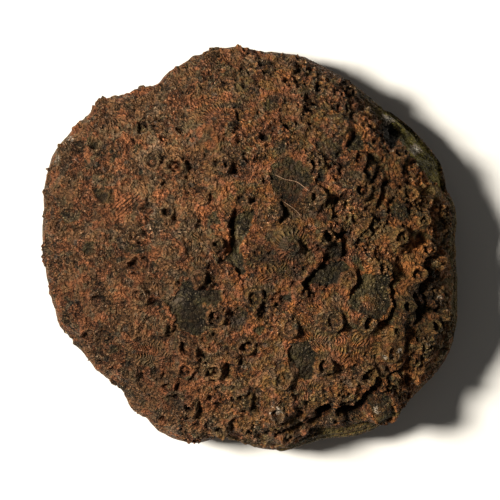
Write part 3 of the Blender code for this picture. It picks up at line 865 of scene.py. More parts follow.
worn = 1.0 - 0.90 * crisp
bent = FLAT_P + 0.5 * np.stack([wave(FLAT_P, 2.0, 511), wave(FLAT_P, 2.0, 512), wave(FLAT_P, 2.0, 513)], axis=1)
f1, f2 = beads(bent, 1.45, 514)
grain = 0.85 * (0.26 - f1 ** 2) - 0.10 * smooth(1.0 - (f2 - f1) / 0.28)
g1, g2 = beads(bent, 2.9, 515)
grain += 0.56 * (0.5 - g1) - 0.12 * smooth(1.0 - (g2 - g1) / 0.20) * smooth(0.5 + wave(FLAT_P, 6.0, 516))
busy = 0.34 + 0.98 * smooth(0.50 + 0.95 * rough(FLAT_P, 6.5, 541, 2, 0.6))     # smooth and rough ground take turns
grain += 0.62 * (0.30 - g1 ** 2) * smooth((285.0 - PX[:, 0]) / 130.0) * up
grit = (0.100 - 0.080 * crisp) * (0.35 + 0.65 * busy) * rng.standard_normal(len(D)).clip(-2.0, 2.0)
chip = rough(FLAT_P, 2.2, 502, 2, 0.6)
chips = -0.60 * smooth((chip - 0.34) / 0.26) + 0.20 * smooth((-chip - 0.30) / 0.35)
lumps = 0.60 * rough(FLAT_P, 5.6, 503, 2, 0.5)
# crags: the ground breaks off in small irregular steps
slab = rough(bent, 4.2, 521, 3, 0.62)
slab_b = rough(bent, 2.7, 522, 2, 0.6)
crags = 0.62 * (smooth((slab + 0.02) / 0.12) - 0.5) + 0.40 * (smooth((slab_b - 0.10) / 0.10) - 0.4)
seam = 1.0 - np.abs(wave(FLAT_P + 2.1 * np.stack([wave(FLAT_P, 4.0, 505), wave(FLAT_P, 4.0, 506), wave(FLAT_P, 4.0, 507)], axis=1), 4.4, 504)) / 0.08
seams = -0.18 * smooth(seam) * smooth(0.2 + wave(FLAT_P, 8.0, 508))

to_edge = (1.0 - 0.60 * smooth((S - (S_RIM - 8.0)) / 6.0)) * (1.0 - 0.72 * smooth((S - (S_RIM - 5.0)) / 4.0))
fine_detail = (cup_h * to_edge * (1.0 + 0.68 * coarse) + (ribs_h + grit) * to_edge
               + worn * to_edge * ((grain + chips) * busy + seams + crags * (0.55 + 0.45 * busy)) * 1.14)
mound = mound * wave_h * (0.4 + 0.6 * to_edge) * (1.0 + 0.30 * coarse)
detail = on_side * (mound + lumps * (1.0 + 0.35 * coarse) + fine_detail)
# older layer and underside: smooth, banded by growth, with low wrinkles
band_s = S + 0.9 * wave(FLAT_P, 9.0, 601) + 0.35 * wave(FLAT_P, 3.0, 602)
bands = 0.10 * np.sin(band_s * math.tau / 1.9) + 0.14 * np.sin(band_s * math.tau / 4.7 + 1.0)
band_detail = bands + 0.16 * rough(FLAT_P, 2.0, 603, 2, 0.5) + 0.22 * rough(FLAT_P, 6.0, 604, 2, 0.5)
detail = detail + (1.0 - on_side) * band_detail
keep = 1.0 - patch_smooth
streak = np.stack([FLAT_P[:, 0] + 0.35 * FLAT_P[:, 1], 0.4 * FLAT_P[:, 1], 0.4 * FLAT_P[:, 2]], axis=1)
flat_detail = mound * 0.85 + 0.5 * lumps + 0.10 * rough(streak, 1.5, 701, 2, 0.6) + 0.35 * ribs_h + 0.5 * grit + 0.12 * grain
relief = detail * keep + flat_detail * (1.0 - keep)
detail = relief + patch_depth * (0.85 + 0.3 * wave(FLAT_P, 3.0, 702)) - crack_depth + crack_rise
# the ground sits a little under the mounds' feet towards the rim, so that the outline keeps its size
detail -= 0.80 * smooth((S - (S_RIM - 10.0)) / 7.0) * (0.35 + 0.65 * on_side)
detail *= foot
HIGH = FLAT_P + NRM * detail[:, None]
HIGH[:, 2] = np.maximum(HIGH[:, 2], np.where(P[:, 2] < 1e-3, 0.0, 0.02))
HIGH -= MIDDLE

# ------------------------------------------------------------------ the cut face
ring_idx = np.nonzero(S > S_BASE - 1e-6)[0]
ring_idx = ring_idx[np.argsort(A[ring_idx])]
HIGH[ring_idx, 2] = 0.0
loop = HIGH[ring_idx][:, :2]
inner = []
step = 4.6
for iy in range(-14, 15):
    for ix in range(-14, 15):
        q = np.array([(ix + 0.5 * (iy % 2)) * step, iy * step * 0.866]) + (rng.random(2) - 0.5) * 0.8
        if -poly_distance(q[None, :], loop)[0] > 1.8:
            inner.append(q)
inner = np.array(inner)
cap_pts = np.concatenate([loop, inner])
m = len(loop)
cap = delaunay_2d_cdt([Vector(q) for q in cap_pts], [(i, (i + 1) % m) for i in range(m)], [], 1, 1e-9)
cap_map = [o[0] for o in cap[3]]
assert len(cap[0]) == len(cap_pts), "cut face points merged"
n0 = len(HIGH)
full_idx = np.concatenate([ring_idx, np.arange(n0, n0 + len(inner))])
cap_tri = np.array([[full_idx[cap_map[v]] for v in f] for f in cap[2]], dtype=np.int64)
VERTS = np.concatenate([HIGH, np.concatenate([inner, np.zeros((len(inner), 1))], axis=1)])


def turned(tri, verts, outward):
    a, b, c = verts[tri[:, 0]], verts[tri[:, 1]], verts[tri[:, 2]]
    n = np.cross(b - a, c - a)
    flip = (n * outward).sum(axis=1) < 0
    tri = tri.copy()
    tri[flip] = tri[flip][:, ::-1]
    return tri


# the flat map keeps its winding everywhere, so one test in the map settles it
da = D[TRI[:, 0]]
db = D[TRI[:, 1]]
dc = D[TRI[:, 2]]
sign = (db[:, 0] - da[:, 0]) * (dc[:, 1] - da[:, 1]) - (db[:, 1] - da[:, 1]) * (dc[:, 0] - da[:, 0])
TRI = np.where((sign < 0)[:, None], TRI[:, ::-1], TRI)
cap_tri = turned(cap_tri, VERTS, np.array([[0.0, 0.0, -1.0]]))
FACES = np.concatenate([TRI, cap_tri])
print("vertices", len(VERTS), "triangles", len(FACES))

# ------------------------------------------------------------------ what the finish is steered by
nv = len(VERTS)
edges = np.concatenate([FACES[:, [0, 1]], FACES[:, [1, 2]], FACES[:, [2, 0]]])
count = np.zeros(nv)
np.add.at(count, edges[:, 0], 1.0)
np.add.at(count, edges[:, 1], 1.0)


def blur(x, times):
    for _ in range(times):
        acc = np.bincount(edges[:, 0], weights=x[edges[:, 1]], minlength=nv) + np.bincount(edges[:, 1], weights=x[edges[:, 0]], minlength=nv)
        x = 0.5 * x + 0.5 * acc / np.maximum(count, 1.0)
    return x


# the height against its blurred surroundings steers painted shade in hollows and a painted highlight on small tops
height = np.concatenate([relief * foot, np.zeros(len(inner))])
near_h = blur(height, 3)
mid_h = blur(near_h, 14)
fine_relief_shading = np.clip((height - near_h) / 0.10, -1.0, 1.0)
mid_relief_shading = np.clip((near_h - mid_h) / 0.40, -1.0, 1.0)
pad = np.zeros(len(inner))

# the rim is rubbed: small steps in the outline are rounded off
rub = smooth((S - (S_RIM - 4.5)) / 2.5) * smooth((S_RIM + 5.0 - S) / 3.0) * (1.0 - smooth((PX[:, 0] - 290.0) / 70.0))
for x, y, wide in ((67, 338, 13), (113, 384, 12), (122, 394, 12)):
    rub = np.maximum(rub, smooth((1.5 - np.hypot(PX[:, 0] - x, PX[:, 1] - y) / wide) / 0.7) * smooth((S_RIM + 5.0 - S) / 3.0))
rub = np.concatenate([rub, np.zeros(len(inner))])
VERTS = mixed(VERTS, np.stack([blur(VERTS[:, i], 4) for i in range(3)], axis=1), 0.9 * rub[:, None])


def padded(x, fill=0.0):
    return np.concatenate([x, np.full(len(inner), fill)])


rust_noise = smooth(0.42 + 0.75 * rough(FLAT_P, 9.0, 801, 3, 0.6))
rust = np.clip(0.28 * rust_noise + rusty * (0.35 + 0.65 * rust_noise) + 0.7 * patch_lip * (0.4 + 0.6 * rust_noise), 0, 1)
rust = np.maximum(rust * (1.0 - patch_smooth) * (1.0 - 0.6 * mauve), 0.34 * film) * (1.0 - 0.8 * OVER)
dark = np.clip(patch_dark + 0.62 * patch_green, 0, 1) * (1.0 - 0.62 * film)
green = np.clip(greenish * (0.6 + 0.5 * wave(FLAT_P, 2.4, 802)) + patch_green * 0.45 + 0.8 * OVER + (1.0 - on_side) * 0.35, 0, 1)
cup_tone = (rng.random(N_CUPS) * 2.0 - 1.0)[k] * np.exp(-(x_own / 1.7) ** 2) * np.where(have, 1.0, 0.0) * (1.0 - patch_smooth)
rust = np.clip(rust + 0.40 * np.maximum(cup_tone, 0.0), 0, 1)
green = np.clip(green + 0.55 * np.maximum(-cup_tone, 0.0), 0, 1)
rimtone = np.exp(-((x_own - 0.75) / 0.60) ** 4) * (0.45 + 0.55 * rng.random(N_CUPS))[k] * np.clip(collar_high[k] / 0.8, 0.35, 1.0) * on_side * (1.0 - patch_smooth)
sparkle = np.maximum(pale * smooth(0.5 + 1.1 * wave(FLAT_P, 1.1, 803)), (pale - 1.0) * 1.3)
stray_specks = smooth((wave(FLAT_P, 0.9, 804) - 0.62) / 0.12) * 0.5
sparkle = np.clip(np.maximum(sparkle, stray_specks * (1 - patch_smooth)), 0, 2)

# rib coordinates of each face corner: which rib, how far out, which corallite
face_cup = CUP[TRI]
whole = (face_cup[:, 0] == face_cup[:, 1]) & (face_cup[:, 1] == face_cup[:, 2]) & (face_cup[:, 0] >= 0)
rib_no = PHASE[TRI].copy()
ribs_here = cup_ribs[np.maximum(face_cup[:, :1], 0)]
rib_no -= ribs_here * np.round((rib_no - rib_no[:, :1]) / ribs_here)
RIBS = np.stack([rib_no, r_own[TRI] / 0.62, face_cup * 7.31], axis=2)
RIBS[~whole] = 0.0
RIBS = np.concatenate([RIBS.reshape(-1, 3), np.zeros((3 * len(cap_tri), 3))])
on_border = np.zeros(nv, bool)
on_border[TRI[~whole].ravel()] = True
rib_weight = (0.10 + 0.90 * crisp) * rib_reach * on_side * (1.0 - 0.55 * patch_smooth) * (1.0 - 0.8 * OVER)
rib_weight = padded(rib_weight) * (1.0 - on_border)

# shade is painted at the foot of each small step, inside the pits and round the foot of each collar
step_foot_shade = np.exp(-((slab + 0.055) / 0.035) ** 2) * smooth(0.35 + 1.1 * wave(FLAT_P, 3.0, 523))
step_foot_shade = np.maximum(step_foot_shade, 0.8 * np.exp(-((slab_b - 0.07) / 0.035) ** 2) * smooth(0.2 + 1.1 * wave(FLAT_P, 3.6, 524)))
painted_shade = np.maximum(painted_shade, 0.60 * step_foot_shade * worn * on_side * (1.0 - patch_smooth))
pit_shade = pit * (1.0 - 0.8 * np.clip(knob, 0.0, 1.0)) * (0.24 + 0.24 * np.clip(hollow[k], 0.0, 1.4))
collar_foot_shade = 0.30 * np.exp(-((x_rim - 1.30) / 0.13) ** 2) * smooth(0.5 + 1.2 * wave(FLAT_P, 2.0, 525)) * np.clip(collar_high[k] / 0.7, 0.3, 1.0)
painted_shade = np.maximum(painted_shade, np.where(have, np.maximum(pit_shade, collar_foot_shade), 0.0) * on_side)

comb = smooth((1.25 - np.maximum(np.abs(0.76 * (PXW[:, 0] - 129) - 0.65 * (PXW[:, 1] - 203)) / 14.0, np.abs(0.65 * (PXW[:, 0] - 129) + 0.76 * (PXW[:, 1] - 203)) / 7.5)) / 0.4) * up
ATTRS = {
    "comb": padded(comb),
    "ribw": rib_weight, "rim": padded(rimtone), "mauve": padded(mauve),
    "rust": padded(rust), "dark": padded(dark), "green": padded(green, 0.3), "pale": padded(sparkle), "deep": padded(patch_deep), "coarse": padded(coarse * (1.0 - patch_smooth) - np.maximum(smooth((PX[:, 0] - 335.0) / 85.0) * up, 0.9 * OVER)), "shelf": padded(patch_shelf),
    "busy": padded(busy, 0.5),
    "tone": padded(stain_light_and_shade),
    "fine": fine_relief_shading, "mid": mid_relief_shading, "painted_shade": padded(painted_shade),
}

# ------------------------------------------------------------------ the mesh
mesh = bpy.data.meshes.new("fossil_coral")
mesh.vertices.add(nv)
mesh.vertices.foreach_set("co", (VERTS * 0.001).astype(np.float32).ravel())
mesh.loops.add(3 * len(FACES))
mesh.loops.foreach_set("vertex_index", FACES.astype(np.int32).ravel())
mesh.polygons.add(len(FACES))
mesh.polygons.foreach_set("loop_start", (np.arange(len(FACES)) * 3).astype(np.int32))
mesh.update(calc_edges=True)
mesh.validate(verbose=False)
mesh.polygons.foreach_set("use_smooth", np.ones(len(mesh.polygons), dtype=bool))
for name, values in ATTRS.items():
    layer = mesh.attributes.new(name, "FLOAT", "POINT")
    layer.data.foreach_set("value", values.astype(np.float32))

# the ribs' own coordinates, kept on each corner so that they stay exact inside a corallite
corner_map = mesh.attributes.new("ribs", "FLOAT_VECTOR", "CORNER")
corner_map.data.foreach_set("vector", RIBS.astype(np.float32).ravel())

# flat map for the finish: the dome and the side as one round island, the cut face as a small one in a corner
uv = mesh.uv_layers.new(name="OFBake")
half = S_BASE * 2.04
flat_uv = np.concatenate([D / half + 0.5, np.zeros((len(inner), 2))])
cap_uv = VERTS[:, :2] / (2.0 * 58.0) * 0.125 + 0.0705
n_loops = len(mesh.loops)
corner = np.empty(n_loops, dtype=np.int32)
mesh.loops.foreach_get("vertex_index", corner)
face_of = np.repeat(np.arange(len(mesh.polygons)), 3)
is_cap = face_of >= len(TRI)
uvs = np.where(is_cap[:, None], cap_uv[corner], flat_uv[corner])
uv.data.foreach_set("uv", uvs.astype(np.float32).ravel())
mesh.update()

coral = bpy.data.objects.new("fossil_coral", mesh)
bpy.context.scene.collection.objects.link(coral)


# ------------------------------------------------------------------ the stone
def stone_material():
    mat = bpy.data.materials.new("fossil_stone")
    mat.use_nodes = True
    nt = mat.node_tree
    bsdf = nt.nodes["Principled BSDF"]
    links = nt.links

    def node(kind, **values):
        n = nt.nodes.new(kind)
        for key, value in values.items():
            setattr(n, key, value)
        return n

    def attr(name):
        n = node("ShaderNodeAttribute", attribute_name=name)
        return n.outputs["Fac"]

    def math_(op, a, b=None, c=None, clamp=False):
        n = node("ShaderNodeMath", operation=op, use_clamp=clamp)
        for i, v in enumerate((a, b, c)):
            if v is None:
                continue
            if isinstance(v, (int, float)):
                n.inputs[i].default_value = v
            else:
                links.new(v, n.inputs[i])
        return n.outputs[0]

    def mix(fac, a, b):
        n = node("ShaderNodeMix", data_type="RGBA")
        if isinstance(fac, (int, float)):
            n.inputs[0].default_value = fac
        else:
            links.new(fac, n.inputs[0])
        for i, v in ((6, a), (7, b)):
            if isinstance(v, tuple):
                n.inputs[i].default_value = (*v, 1.0)
            else:
                links.new(v, n.inputs[i])
        return n.outputs[2]

    def ramp(value, lo, hi):
        n = node("ShaderNodeMapRange", interpolation_type="SMOOTHSTEP")
        links.new(value, n.inputs[0])
        n.inputs[1].default_value = lo
        n.inputs[2].default_value = hi
        return n.outputs[0]

    place = node("ShaderNodeTexCoord").outputs["Object"]

    def cloud(size, detail=3.0, roughness=0.6, shift=0.0):
        n = node("ShaderNodeTexNoise", noise_dimensions="3D")
        m = node("ShaderNodeMapping")
        m.inputs["Location"].default_value = (shift, shift * 0.7, -shift)
        links.new(place, m.inputs["Vector"])
        links.new(m.outputs[0], n.inputs["Vector"])
        n.inputs["Scale"].default_value = 1.0 / size
        n.inputs["Detail"].default_value = detail
        n.inputs["Roughness"].default_value = roughness
        return n.outputs["Fac"]

    rust_, dark_, green_, pale_ = attr("rust"), attr("dark"), attr("green"), attr("pale")
    fine_shading_, mid_shading_, painted_shade_, ribw_, rim_, mauve_ = attr("fine"), attr("mid"), attr("painted_shade"), attr("ribw"), attr("rim"), attr("mauve")
    busy_ = attr("busy")
    deep_, stain_light_and_shade_, coarse_, shelf_ = attr("deep"), attr("tone"), attr("coarse"), attr("shelf")

    broad = cloud(0.011, 4.0, 0.62)
    blot = cloud(0.0032, 4.0, 0.65, 0.3)
    hue_a = cloud(0.0036, 2.0, 0.50, 2.1)
    hue_b = cloud(0.0030, 2.0, 0.50, 3.7)
    hue_c = cloud(0.0042, 2.0, 0.50, 5.3)
    hue_d = cloud(0.0030, 3.0, 0.65, 7.9)
    grit = cloud(0.00085, 4.0, 0.7, 0.7)
    speck = cloud(0.00042, 2.0, 0.6, 1.3)
    fine_n = ramp(speck, 0.34, 0.66)
    pin = ramp(speck, 0.40, 0.33)
    painted_glint = ramp(speck, 0.61, 0.67)

    # grains: rounded lumps with dark joints, bent out of line a little
    warp = node("ShaderNodeTexNoise", noise_dimensions="3D")
    warp.inputs["Scale"].default_value = 1.0 / 0.0016
    warp.inputs["Detail"].default_value = 1.0
    links.new(place, warp.inputs["Vector"])
    shove = node("ShaderNodeVectorMath", operation="MULTIPLY_ADD")
    links.new(warp.outputs["Color"], shove.inputs[0])
    shove.inputs[1].default_value = (0.0009, 0.0009, 0.0009)
    links.new(place, shove.inputs[2])

    def cells(size, feature="F1"):
        n = node("ShaderNodeTexVoronoi", voronoi_dimensions="3D", feature=feature)
        n.inputs["Scale"].default_value = 1.0 / size
        links.new(shove.outputs[0], n.inputs["Vector"])
        return n.outputs["Distance"]

    def domes(size):
        d = cells(size)
        return math_("MULTIPLY_ADD", math_("MULTIPLY", d, d), -1.8, 1.0)

    def cell_tones(size, shift=0.0):
        """Random tones of scattered cells, and the distance from each cell's middle."""
        n = node("ShaderNodeTexVoronoi", voronoi_dimensions="3D", feature="F1")
        n.inputs["Scale"].default_value = 1.0 / size
        m = node("ShaderNodeMapping")
        m.inputs["Location"].default_value = (shift, -shift, shift * 0.6)
        links.new(shove.outputs[0], m.inputs["Vector"])
        links.new(m.outputs[0], n.inputs["Vector"])
        parts = node("ShaderNodeSeparateXYZ")
        links.new(n.outputs["Color"], parts.inputs[0])
        return parts.outputs[0], parts.outputs[1], n.outputs["Distance"]

    own_tone, own_hue, _ = cell_tones(0.00092, 0.013)
    chip_pick, chip_kind, chip_far = cell_tones(0.00200, 0.041)
    chip = math_("MULTIPLY", ramp(chip_pick, 0.885, 0.895), ramp(chip_far, 0.50, 0.36))
    grain_a = domes(0.00100)
    grain_b = domes(0.00056)
    sand = ramp(cloud(0.00125, 5.0, 0.74, 4.4), 0.32, 0.68)
    grains = math_("ADD", math_("MULTIPLY", grain_a, 0.62), math_("MULTIPLY", grain_b, 0.22))
    grains = math_("ADD", grains, math_("MULTIPLY", sand, 0.26))

    # ribs: a ridge along each, broken into beads
    ribs = node("ShaderNodeAttribute", attribute_name="ribs").outputs["Vector"]
    split = node("ShaderNodeSeparateXYZ")
    links.new(ribs, split.inputs[0])
    wobble = node("ShaderNodeTexNoise", noise_dimensions="3D")
    wobble.inputs["Scale"].default_value = 0.55
    wobble.inputs["Detail"].default_value = 2.0
    links.new(ribs, wobble.inputs["Vector"])
    bead = node("ShaderNodeTexNoise", noise_dimensions="3D")
    bead.inputs["Scale"].default_value = 1.15
    bead.inputs["Detail"].default_value = 2.0
    bead.inputs["Roughness"].default_value = 0.6
    links.new(ribs, bead.inputs["Vector"])
    turn = math_("ADD", math_("MULTIPLY", split.outputs[0], math.tau), math_("MULTIPLY", math_("SUBTRACT", wobble.outputs["Fac"], 0.5), 2.6))
    # further out a second set comes in between
    doubled = ramp(split.outputs[1], 7.8, 9.2)
    wave_one = math_("MULTIPLY", math_("COSINE", turn), math_("SUBTRACT", 1.0, doubled))
    wave_two = math_("MULTIPLY", math_("COSINE", math_("MULTIPLY", turn, 2.0)), doubled)
    ridge = math_("MULTIPLY_ADD", math_("ADD", wave_one, wave_two), 0.5, 0.5)
    ribbed = math_("MULTIPLY", ridge, math_("MULTIPLY_ADD", ramp(bead.outputs["Fac"], 0.34, 0.60), 0.65, 0.35))
    # surface height in the finish, 0 to about 1: ribs where they show, grains elsewhere
    rib_share = ramp(ribw_, 0.15, 0.95)
    surf = math_("ADD", math_("MULTIPLY", ribbed, math_("MULTIPLY", rib_share, 0.95)), math_("MULTIPLY", grains, math_("SUBTRACT", 1.0, math_("MULTIPLY", rib_share, 0.80))))
    calm = math_("MULTIPLY", math_("SUBTRACT", 1.0, math_("MULTIPLY", rib_share, 0.86)), busy_)
    pock = math_("MULTIPLY", ramp(cloud(0.0011, 2.0, 0.5, 9.3), 0.36, 0.29), calm)
    surf = math_("SUBTRACT", surf, math_("MULTIPLY", pock, 0.45))

    # one spot where worn ribs lie side by side like a comb
    comb_ = attr("comb")
    place_split = node("ShaderNodeSeparateXYZ")
    links.new(place, place_split.inputs[0])
    along = math_("ADD", math_("MULTIPLY", place_split.outputs[0], 0.65 * math.tau / 0.00086), math_("MULTIPLY", place_split.outputs[1], -0.76 * math.tau / 0.00086))
    along = math_("ADD", along, math_("MULTIPLY", math_("SUBTRACT", blot, 0.5), 6.5))
    teeth = math_("MULTIPLY_ADD", math_("COSINE", along), 0.5, 0.5)
    surf = math_("ADD", math_("MULTIPLY", surf, math_("MULTIPLY_ADD", comb_, -0.6, 1.0)), math_("MULTIPLY", math_("MULTIPLY", teeth, comb_), 0.36))

    # brown ground, two tones, broken at several sizes
    tone = math_("ADD", math_("MULTIPLY", broad, 0.45), math_("MULTIPLY", blot, 0.55))
    col = mix(ramp(tone, 0.38, 0.62), (0.150, 0.071, 0.0285), (0.214, 0.104, 0.0425))
    # where the ribs are clean the stone is more khaki
    col = mix(math_("MULTIPLY", rib_share, 0.50), col, (0.176, 0.108, 0.045))
    # mauve-grey, olive and rusty spots
    mauve_w = math_("MULTIPLY_ADD", mauve_, 0.17, hue_c)
    col = mix(math_("MULTIPLY", ramp(mauve_w, 0.565, 0.63), 0.74), col, (0.158, 0.106, 0.062))
    olive_w = math_("ADD", math_("MULTIPLY", green_, 0.30), hue_b)
    col = mix(math_("MULTIPLY", ramp(olive_w, 0.57, 0.635), 0.76), col, (0.118, 0.086, 0.042))
    rust_w = math_("ADD", rust_, math_("MULTIPLY", math_("SUBTRACT", blot, 0.5), 1.1))
    rust_w = math_("ADD", rust_w, math_("MULTIPLY", math_("SUBTRACT", hue_a, 0.5), 3.1))
    col = mix(math_("MULTIPLY", ramp(rust_w, 0.17, 0.46), 0.88), col, (0.262, 0.094, 0.0360))
    col = mix(math_("MULTIPLY", ramp(rust_w, 0.70, 1.15), 0.75), col, (0.372, 0.129, 0.0500))
    # the rims are browner than the ground between them
    rim_w = math_("ADD", rim_, math_("MULTIPLY", math_("SUBTRACT", hue_b, 0.5), 1.2))
    col = mix(math_("MULTIPLY", ramp(rim_w, 0.25, 0.75), 0.72), col, (0.122, 0.072, 0.033))
    # olive film in hollows and on the older layer
    green_w = math_("ADD", green_, math_("MULTIPLY", math_("SUBTRACT", blot, 0.5), 0.9))
    col = mix(math_("MULTIPLY", ramp(green_w, 0.35, 1.0), 0.75), col, (0.088, 0.067, 0.0215))
    # dark smooth patches, mottled and here and there nearly black
    patch = mix(ramp(blot, 0.42, 0.58), (0.0076, 0.0084, 0.0038), (0.029, 0.0255, 0.0120))
    streaky = math_("ADD", math_("MULTIPLY", mauve_, 0.75), math_("MULTIPLY", math_("SUBTRACT", blot, 0.5), 1.6))
    patch = mix(math_("MULTIPLY", ramp(streaky, 0.20, 0.75), 0.85), patch, (0.070, 0.053, 0.0360))
    patch = mix(math_("MULTIPLY", ramp(grit, 0.53, 0.66), 0.36), patch, (0.116, 0.096, 0.052))
    deeper = node("ShaderNodeVectorMath", operation="SCALE")
    links.new(patch, deeper.inputs[0])
    links.new(math_("MULTIPLY_ADD", deep_, -0.62, 1.0), deeper.inputs["Scale"])
    patch = deeper.outputs[0]
    col = mix(math_("MULTIPLY", ramp(math_("ADD", dark_, math_("MULTIPLY", math_("SUBTRACT", blot, 0.5), 0.9)), 0.22, 0.80), 0.92), col, patch)
    grain_w = math_("MULTIPLY", calm, math_("SUBTRACT", 1.0, math_("MAXIMUM", dark_, shelf_)), clamp=True)
    hue_w = math_("MULTIPLY", grain_w, math_("MULTIPLY_ADD", math_("MAXIMUM", coarse_, 0.0), -0.45, 1.0))
    # single grains differ in hue, and here and there a grey-green or mauve chip is let in
    col = mix(math_("MULTIPLY", math_("MULTIPLY", ramp(own_hue, 0.62, 0.92), 0.42), hue_w), col, (0.262, 0.102, 0.0420))
    col = mix(math_("MULTIPLY", math_("MULTIPLY", ramp(own_hue, 0.34, 0.06), 0.42), hue_w), col, (0.126, 0.094, 0.0500))
    chip_w = math_("MULTIPLY", math_("MULTIPLY", chip, 0.80), grain_w)
    col = mix(chip_w, col, mix(ramp(chip_kind, 0.45, 0.55), (0.064, 0.062, 0.0400), (0.150, 0.112, 0.0800)))
    # the shelf of older growth is a pale olive, with painted light added because the key lamp falls away from it
    shelf = mix(ramp(blot, 0.40, 0.60), (0.120, 0.104, 0.022), (0.340, 0.285, 0.080))
    col = mix(math_("MULTIPLY", shelf_, 0.88), col, shelf)
    # some ground leans to ochre, some to pink
    lean = math_("MAXIMUM", ramp(hue_d, 0.40, 0.60), math_("MULTIPLY", coarse_, 0.75))
    lean = math_("ADD", lean, math_("MULTIPLY", math_("MINIMUM", coarse_, 0.0), 0.8), clamp=True)
    tint = mix(lean, (1.03, 1.01, 0.68), (1.01, 0.99, 1.08))
    tinted = node("ShaderNodeVectorMath", operation="MULTIPLY")
    links.new(col, tinted.inputs[0])
    links.new(tint, tinted.inputs[1])
    col = tinted.outputs[0]
    # light crystal specks
    col = mix(math_("MULTIPLY", ramp(math_("ADD", pale_, math_("MULTIPLY", math_("SUBTRACT", speck, 0.5), 0.8)), 0.35, 0.75), 0.85), col, mix(ramp(pale_, 1.0, 1.7), (0.46, 0.37, 0.28), (0.86, 0.80, 0.70)))
    # bright flecks painted on as glints, on the same specks as the glossy spots
    calm_p = math_("MULTIPLY", calm, math_("MULTIPLY_ADD", dark_, -0.35, 1.0))
    col = mix(math_("MULTIPLY", math_("MULTIPLY", painted_glint, 0.30), calm_p), col, (0.48, 0.36, 0.25))
    # grains differ in tone and the joints between them hold dirt; painted shade and highlights are added below
    uneven = math_("ADD", math_("MULTIPLY", math_("SUBTRACT", ramp(grit, 0.36, 0.64), 0.5), 0.22), math_("MULTIPLY", math_("SUBTRACT", fine_n, 0.5), 0.84))
    shade = math_("MULTIPLY_ADD", uneven, calm, 1.0)
    shade = math_("MULTIPLY", shade, math_("MULTIPLY_ADD", math_("SUBTRACT", own_tone, 0.5), math_("MULTIPLY", math_("MULTIPLY", calm, 0.48), math_("MULTIPLY_ADD", math_("MAXIMUM", coarse_, 0.0), -0.35, 1.0)), 1.04))
    # small pits, sunk in the bump, are painted dark as shade
    shade = math_("MULTIPLY", shade, math_("MULTIPLY_ADD", pock, -0.70, 1.0))
    shade = math_("MULTIPLY", shade, math_("MULTIPLY_ADD", math_("MULTIPLY", pin, calm), -0.45, 1.0))
    # the rib grooves are painted darker as shade and the ridges lighter as highlight
    shade = math_("MULTIPLY", shade, math_("MULTIPLY_ADD", rib_share, math_("MULTIPLY_ADD", ribbed, 1.15, -0.60), 1.0))
    shade = math_("MULTIPLY", shade, math_("MULTIPLY_ADD", math_("SUBTRACT", sand, 0.5), math_("MULTIPLY", calm, 0.18), 1.0))
    joint = math_("MULTIPLY", ramp(math_("MULTIPLY_ADD", grain_a, 0.65, math_("MULTIPLY", grain_b, 0.35)), 0.72, 0.30), calm)
    shade = math_("MULTIPLY", shade, math_("MULTIPLY_ADD", joint, -0.50, 1.0))
    # painted shade in small and wider hollows, and a painted highlight on small tops
    shade = math_("MULTIPLY", shade, math_("MULTIPLY_ADD", ramp(math_("MULTIPLY", fine_shading_, -1.0), 0.05, 1.0), -0.48, 1.0))
    shade = math_("MULTIPLY", shade, math_("MULTIPLY_ADD", ramp(math_("MULTIPLY", mid_shading_, -1.0), 0.10, 1.0), -0.34, 1.0))
    shade = math_("MULTIPLY", shade, math_("MULTIPLY_ADD", ramp(fine_shading_, 0.2, 1.0), 0.22, 1.0))
    # painted shade in cracks, gaps, pits and at the feet of steps and collars
    shade = math_("MULTIPLY", shade, math_("MULTIPLY_ADD", ramp(painted_shade_, 0.15, 0.95), -0.85, 1.0))
    # the comb's grooves are painted darker as shade and its teeth a little lighter as highlight
    shade = math_("MULTIPLY", shade, math_("MULTIPLY_ADD", comb_, math_("MULTIPLY_ADD", teeth, 0.30, -0.24), 1.0))
    # painted light makes the left half, which faces the lamp, a little lighter
    shade = math_("MULTIPLY", shade, math_("MULTIPLY_ADD", math_("MAXIMUM", coarse_, 0.0), 0.09, 1.0))
    # stains mixed with painted light and shade, from the spot table
    shade = math_("MULTIPLY", shade, math_("ADD", stain_light_and_shade_, 1.0))
    shader = node("ShaderNodeVectorMath", operation="SCALE")
    links.new(col, shader.inputs[0])
    links.new(shade, shader.inputs["Scale"])
    links.new(shader.outputs[0], bsdf.inputs["Base Color"])

    # small crystal faces catch the light here and there
    glint = ramp(speck, 0.60, 0.66)
    rgh = math_("SUBTRACT", math_("MULTIPLY_ADD", grit, 0.30, 0.55), math_("MULTIPLY", glint, 0.42), clamp=True)
    links.new(rgh, bsdf.inputs["Roughness"])
    bsdf.inputs["Specular IOR Level"].default_value = 0.16
    bsdf.inputs["Metallic"].default_value = 0.0

    soft = math_("SUBTRACT", 1.0, math_("MULTIPLY", dark_, 0.45))
    tiny = math_("SUBTRACT", math_("MULTIPLY", fine_n, 0.38), math_("MULTIPLY", pin, 0.20))
    rise = math_("MULTIPLY", math_("ADD", surf, math_("MULTIPLY", tiny, calm)), soft)
    rise = math_("MULTIPLY", rise, math_("MULTIPLY_ADD", math_("MAXIMUM", coarse_, 0.0), 0.66, 1.10))
    bump = node("ShaderNodeBump")
    bump.inputs["Strength"].default_value = 1.0
    bump.inputs["Distance"].default_value = 0.00148
    links.new(rise, bump.inputs["Height"])
    links.new(bump.outputs["Normal"], bsdf.inputs["Normal"])
    return mat


coral.data.materials.append(stone_material())
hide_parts("coral_head")
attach(coral, "root")

# ------------------------------------------------------------------ two fine rootlets stuck to the stone
ROOTLETS = [
    ("rootlet_a", 0.125, [(275.5, 175), (280, 177), (283.7, 179), (288, 180), (292.7, 180.7), (297.3, 182), (301.3, 184.8), (305.3, 188), (309.5, 191)]),
    ("rootlet_b", 0.10, [(284, 202), (290, 206), (295, 209.5), (298.5, 213), (301.5, 217)]),
]


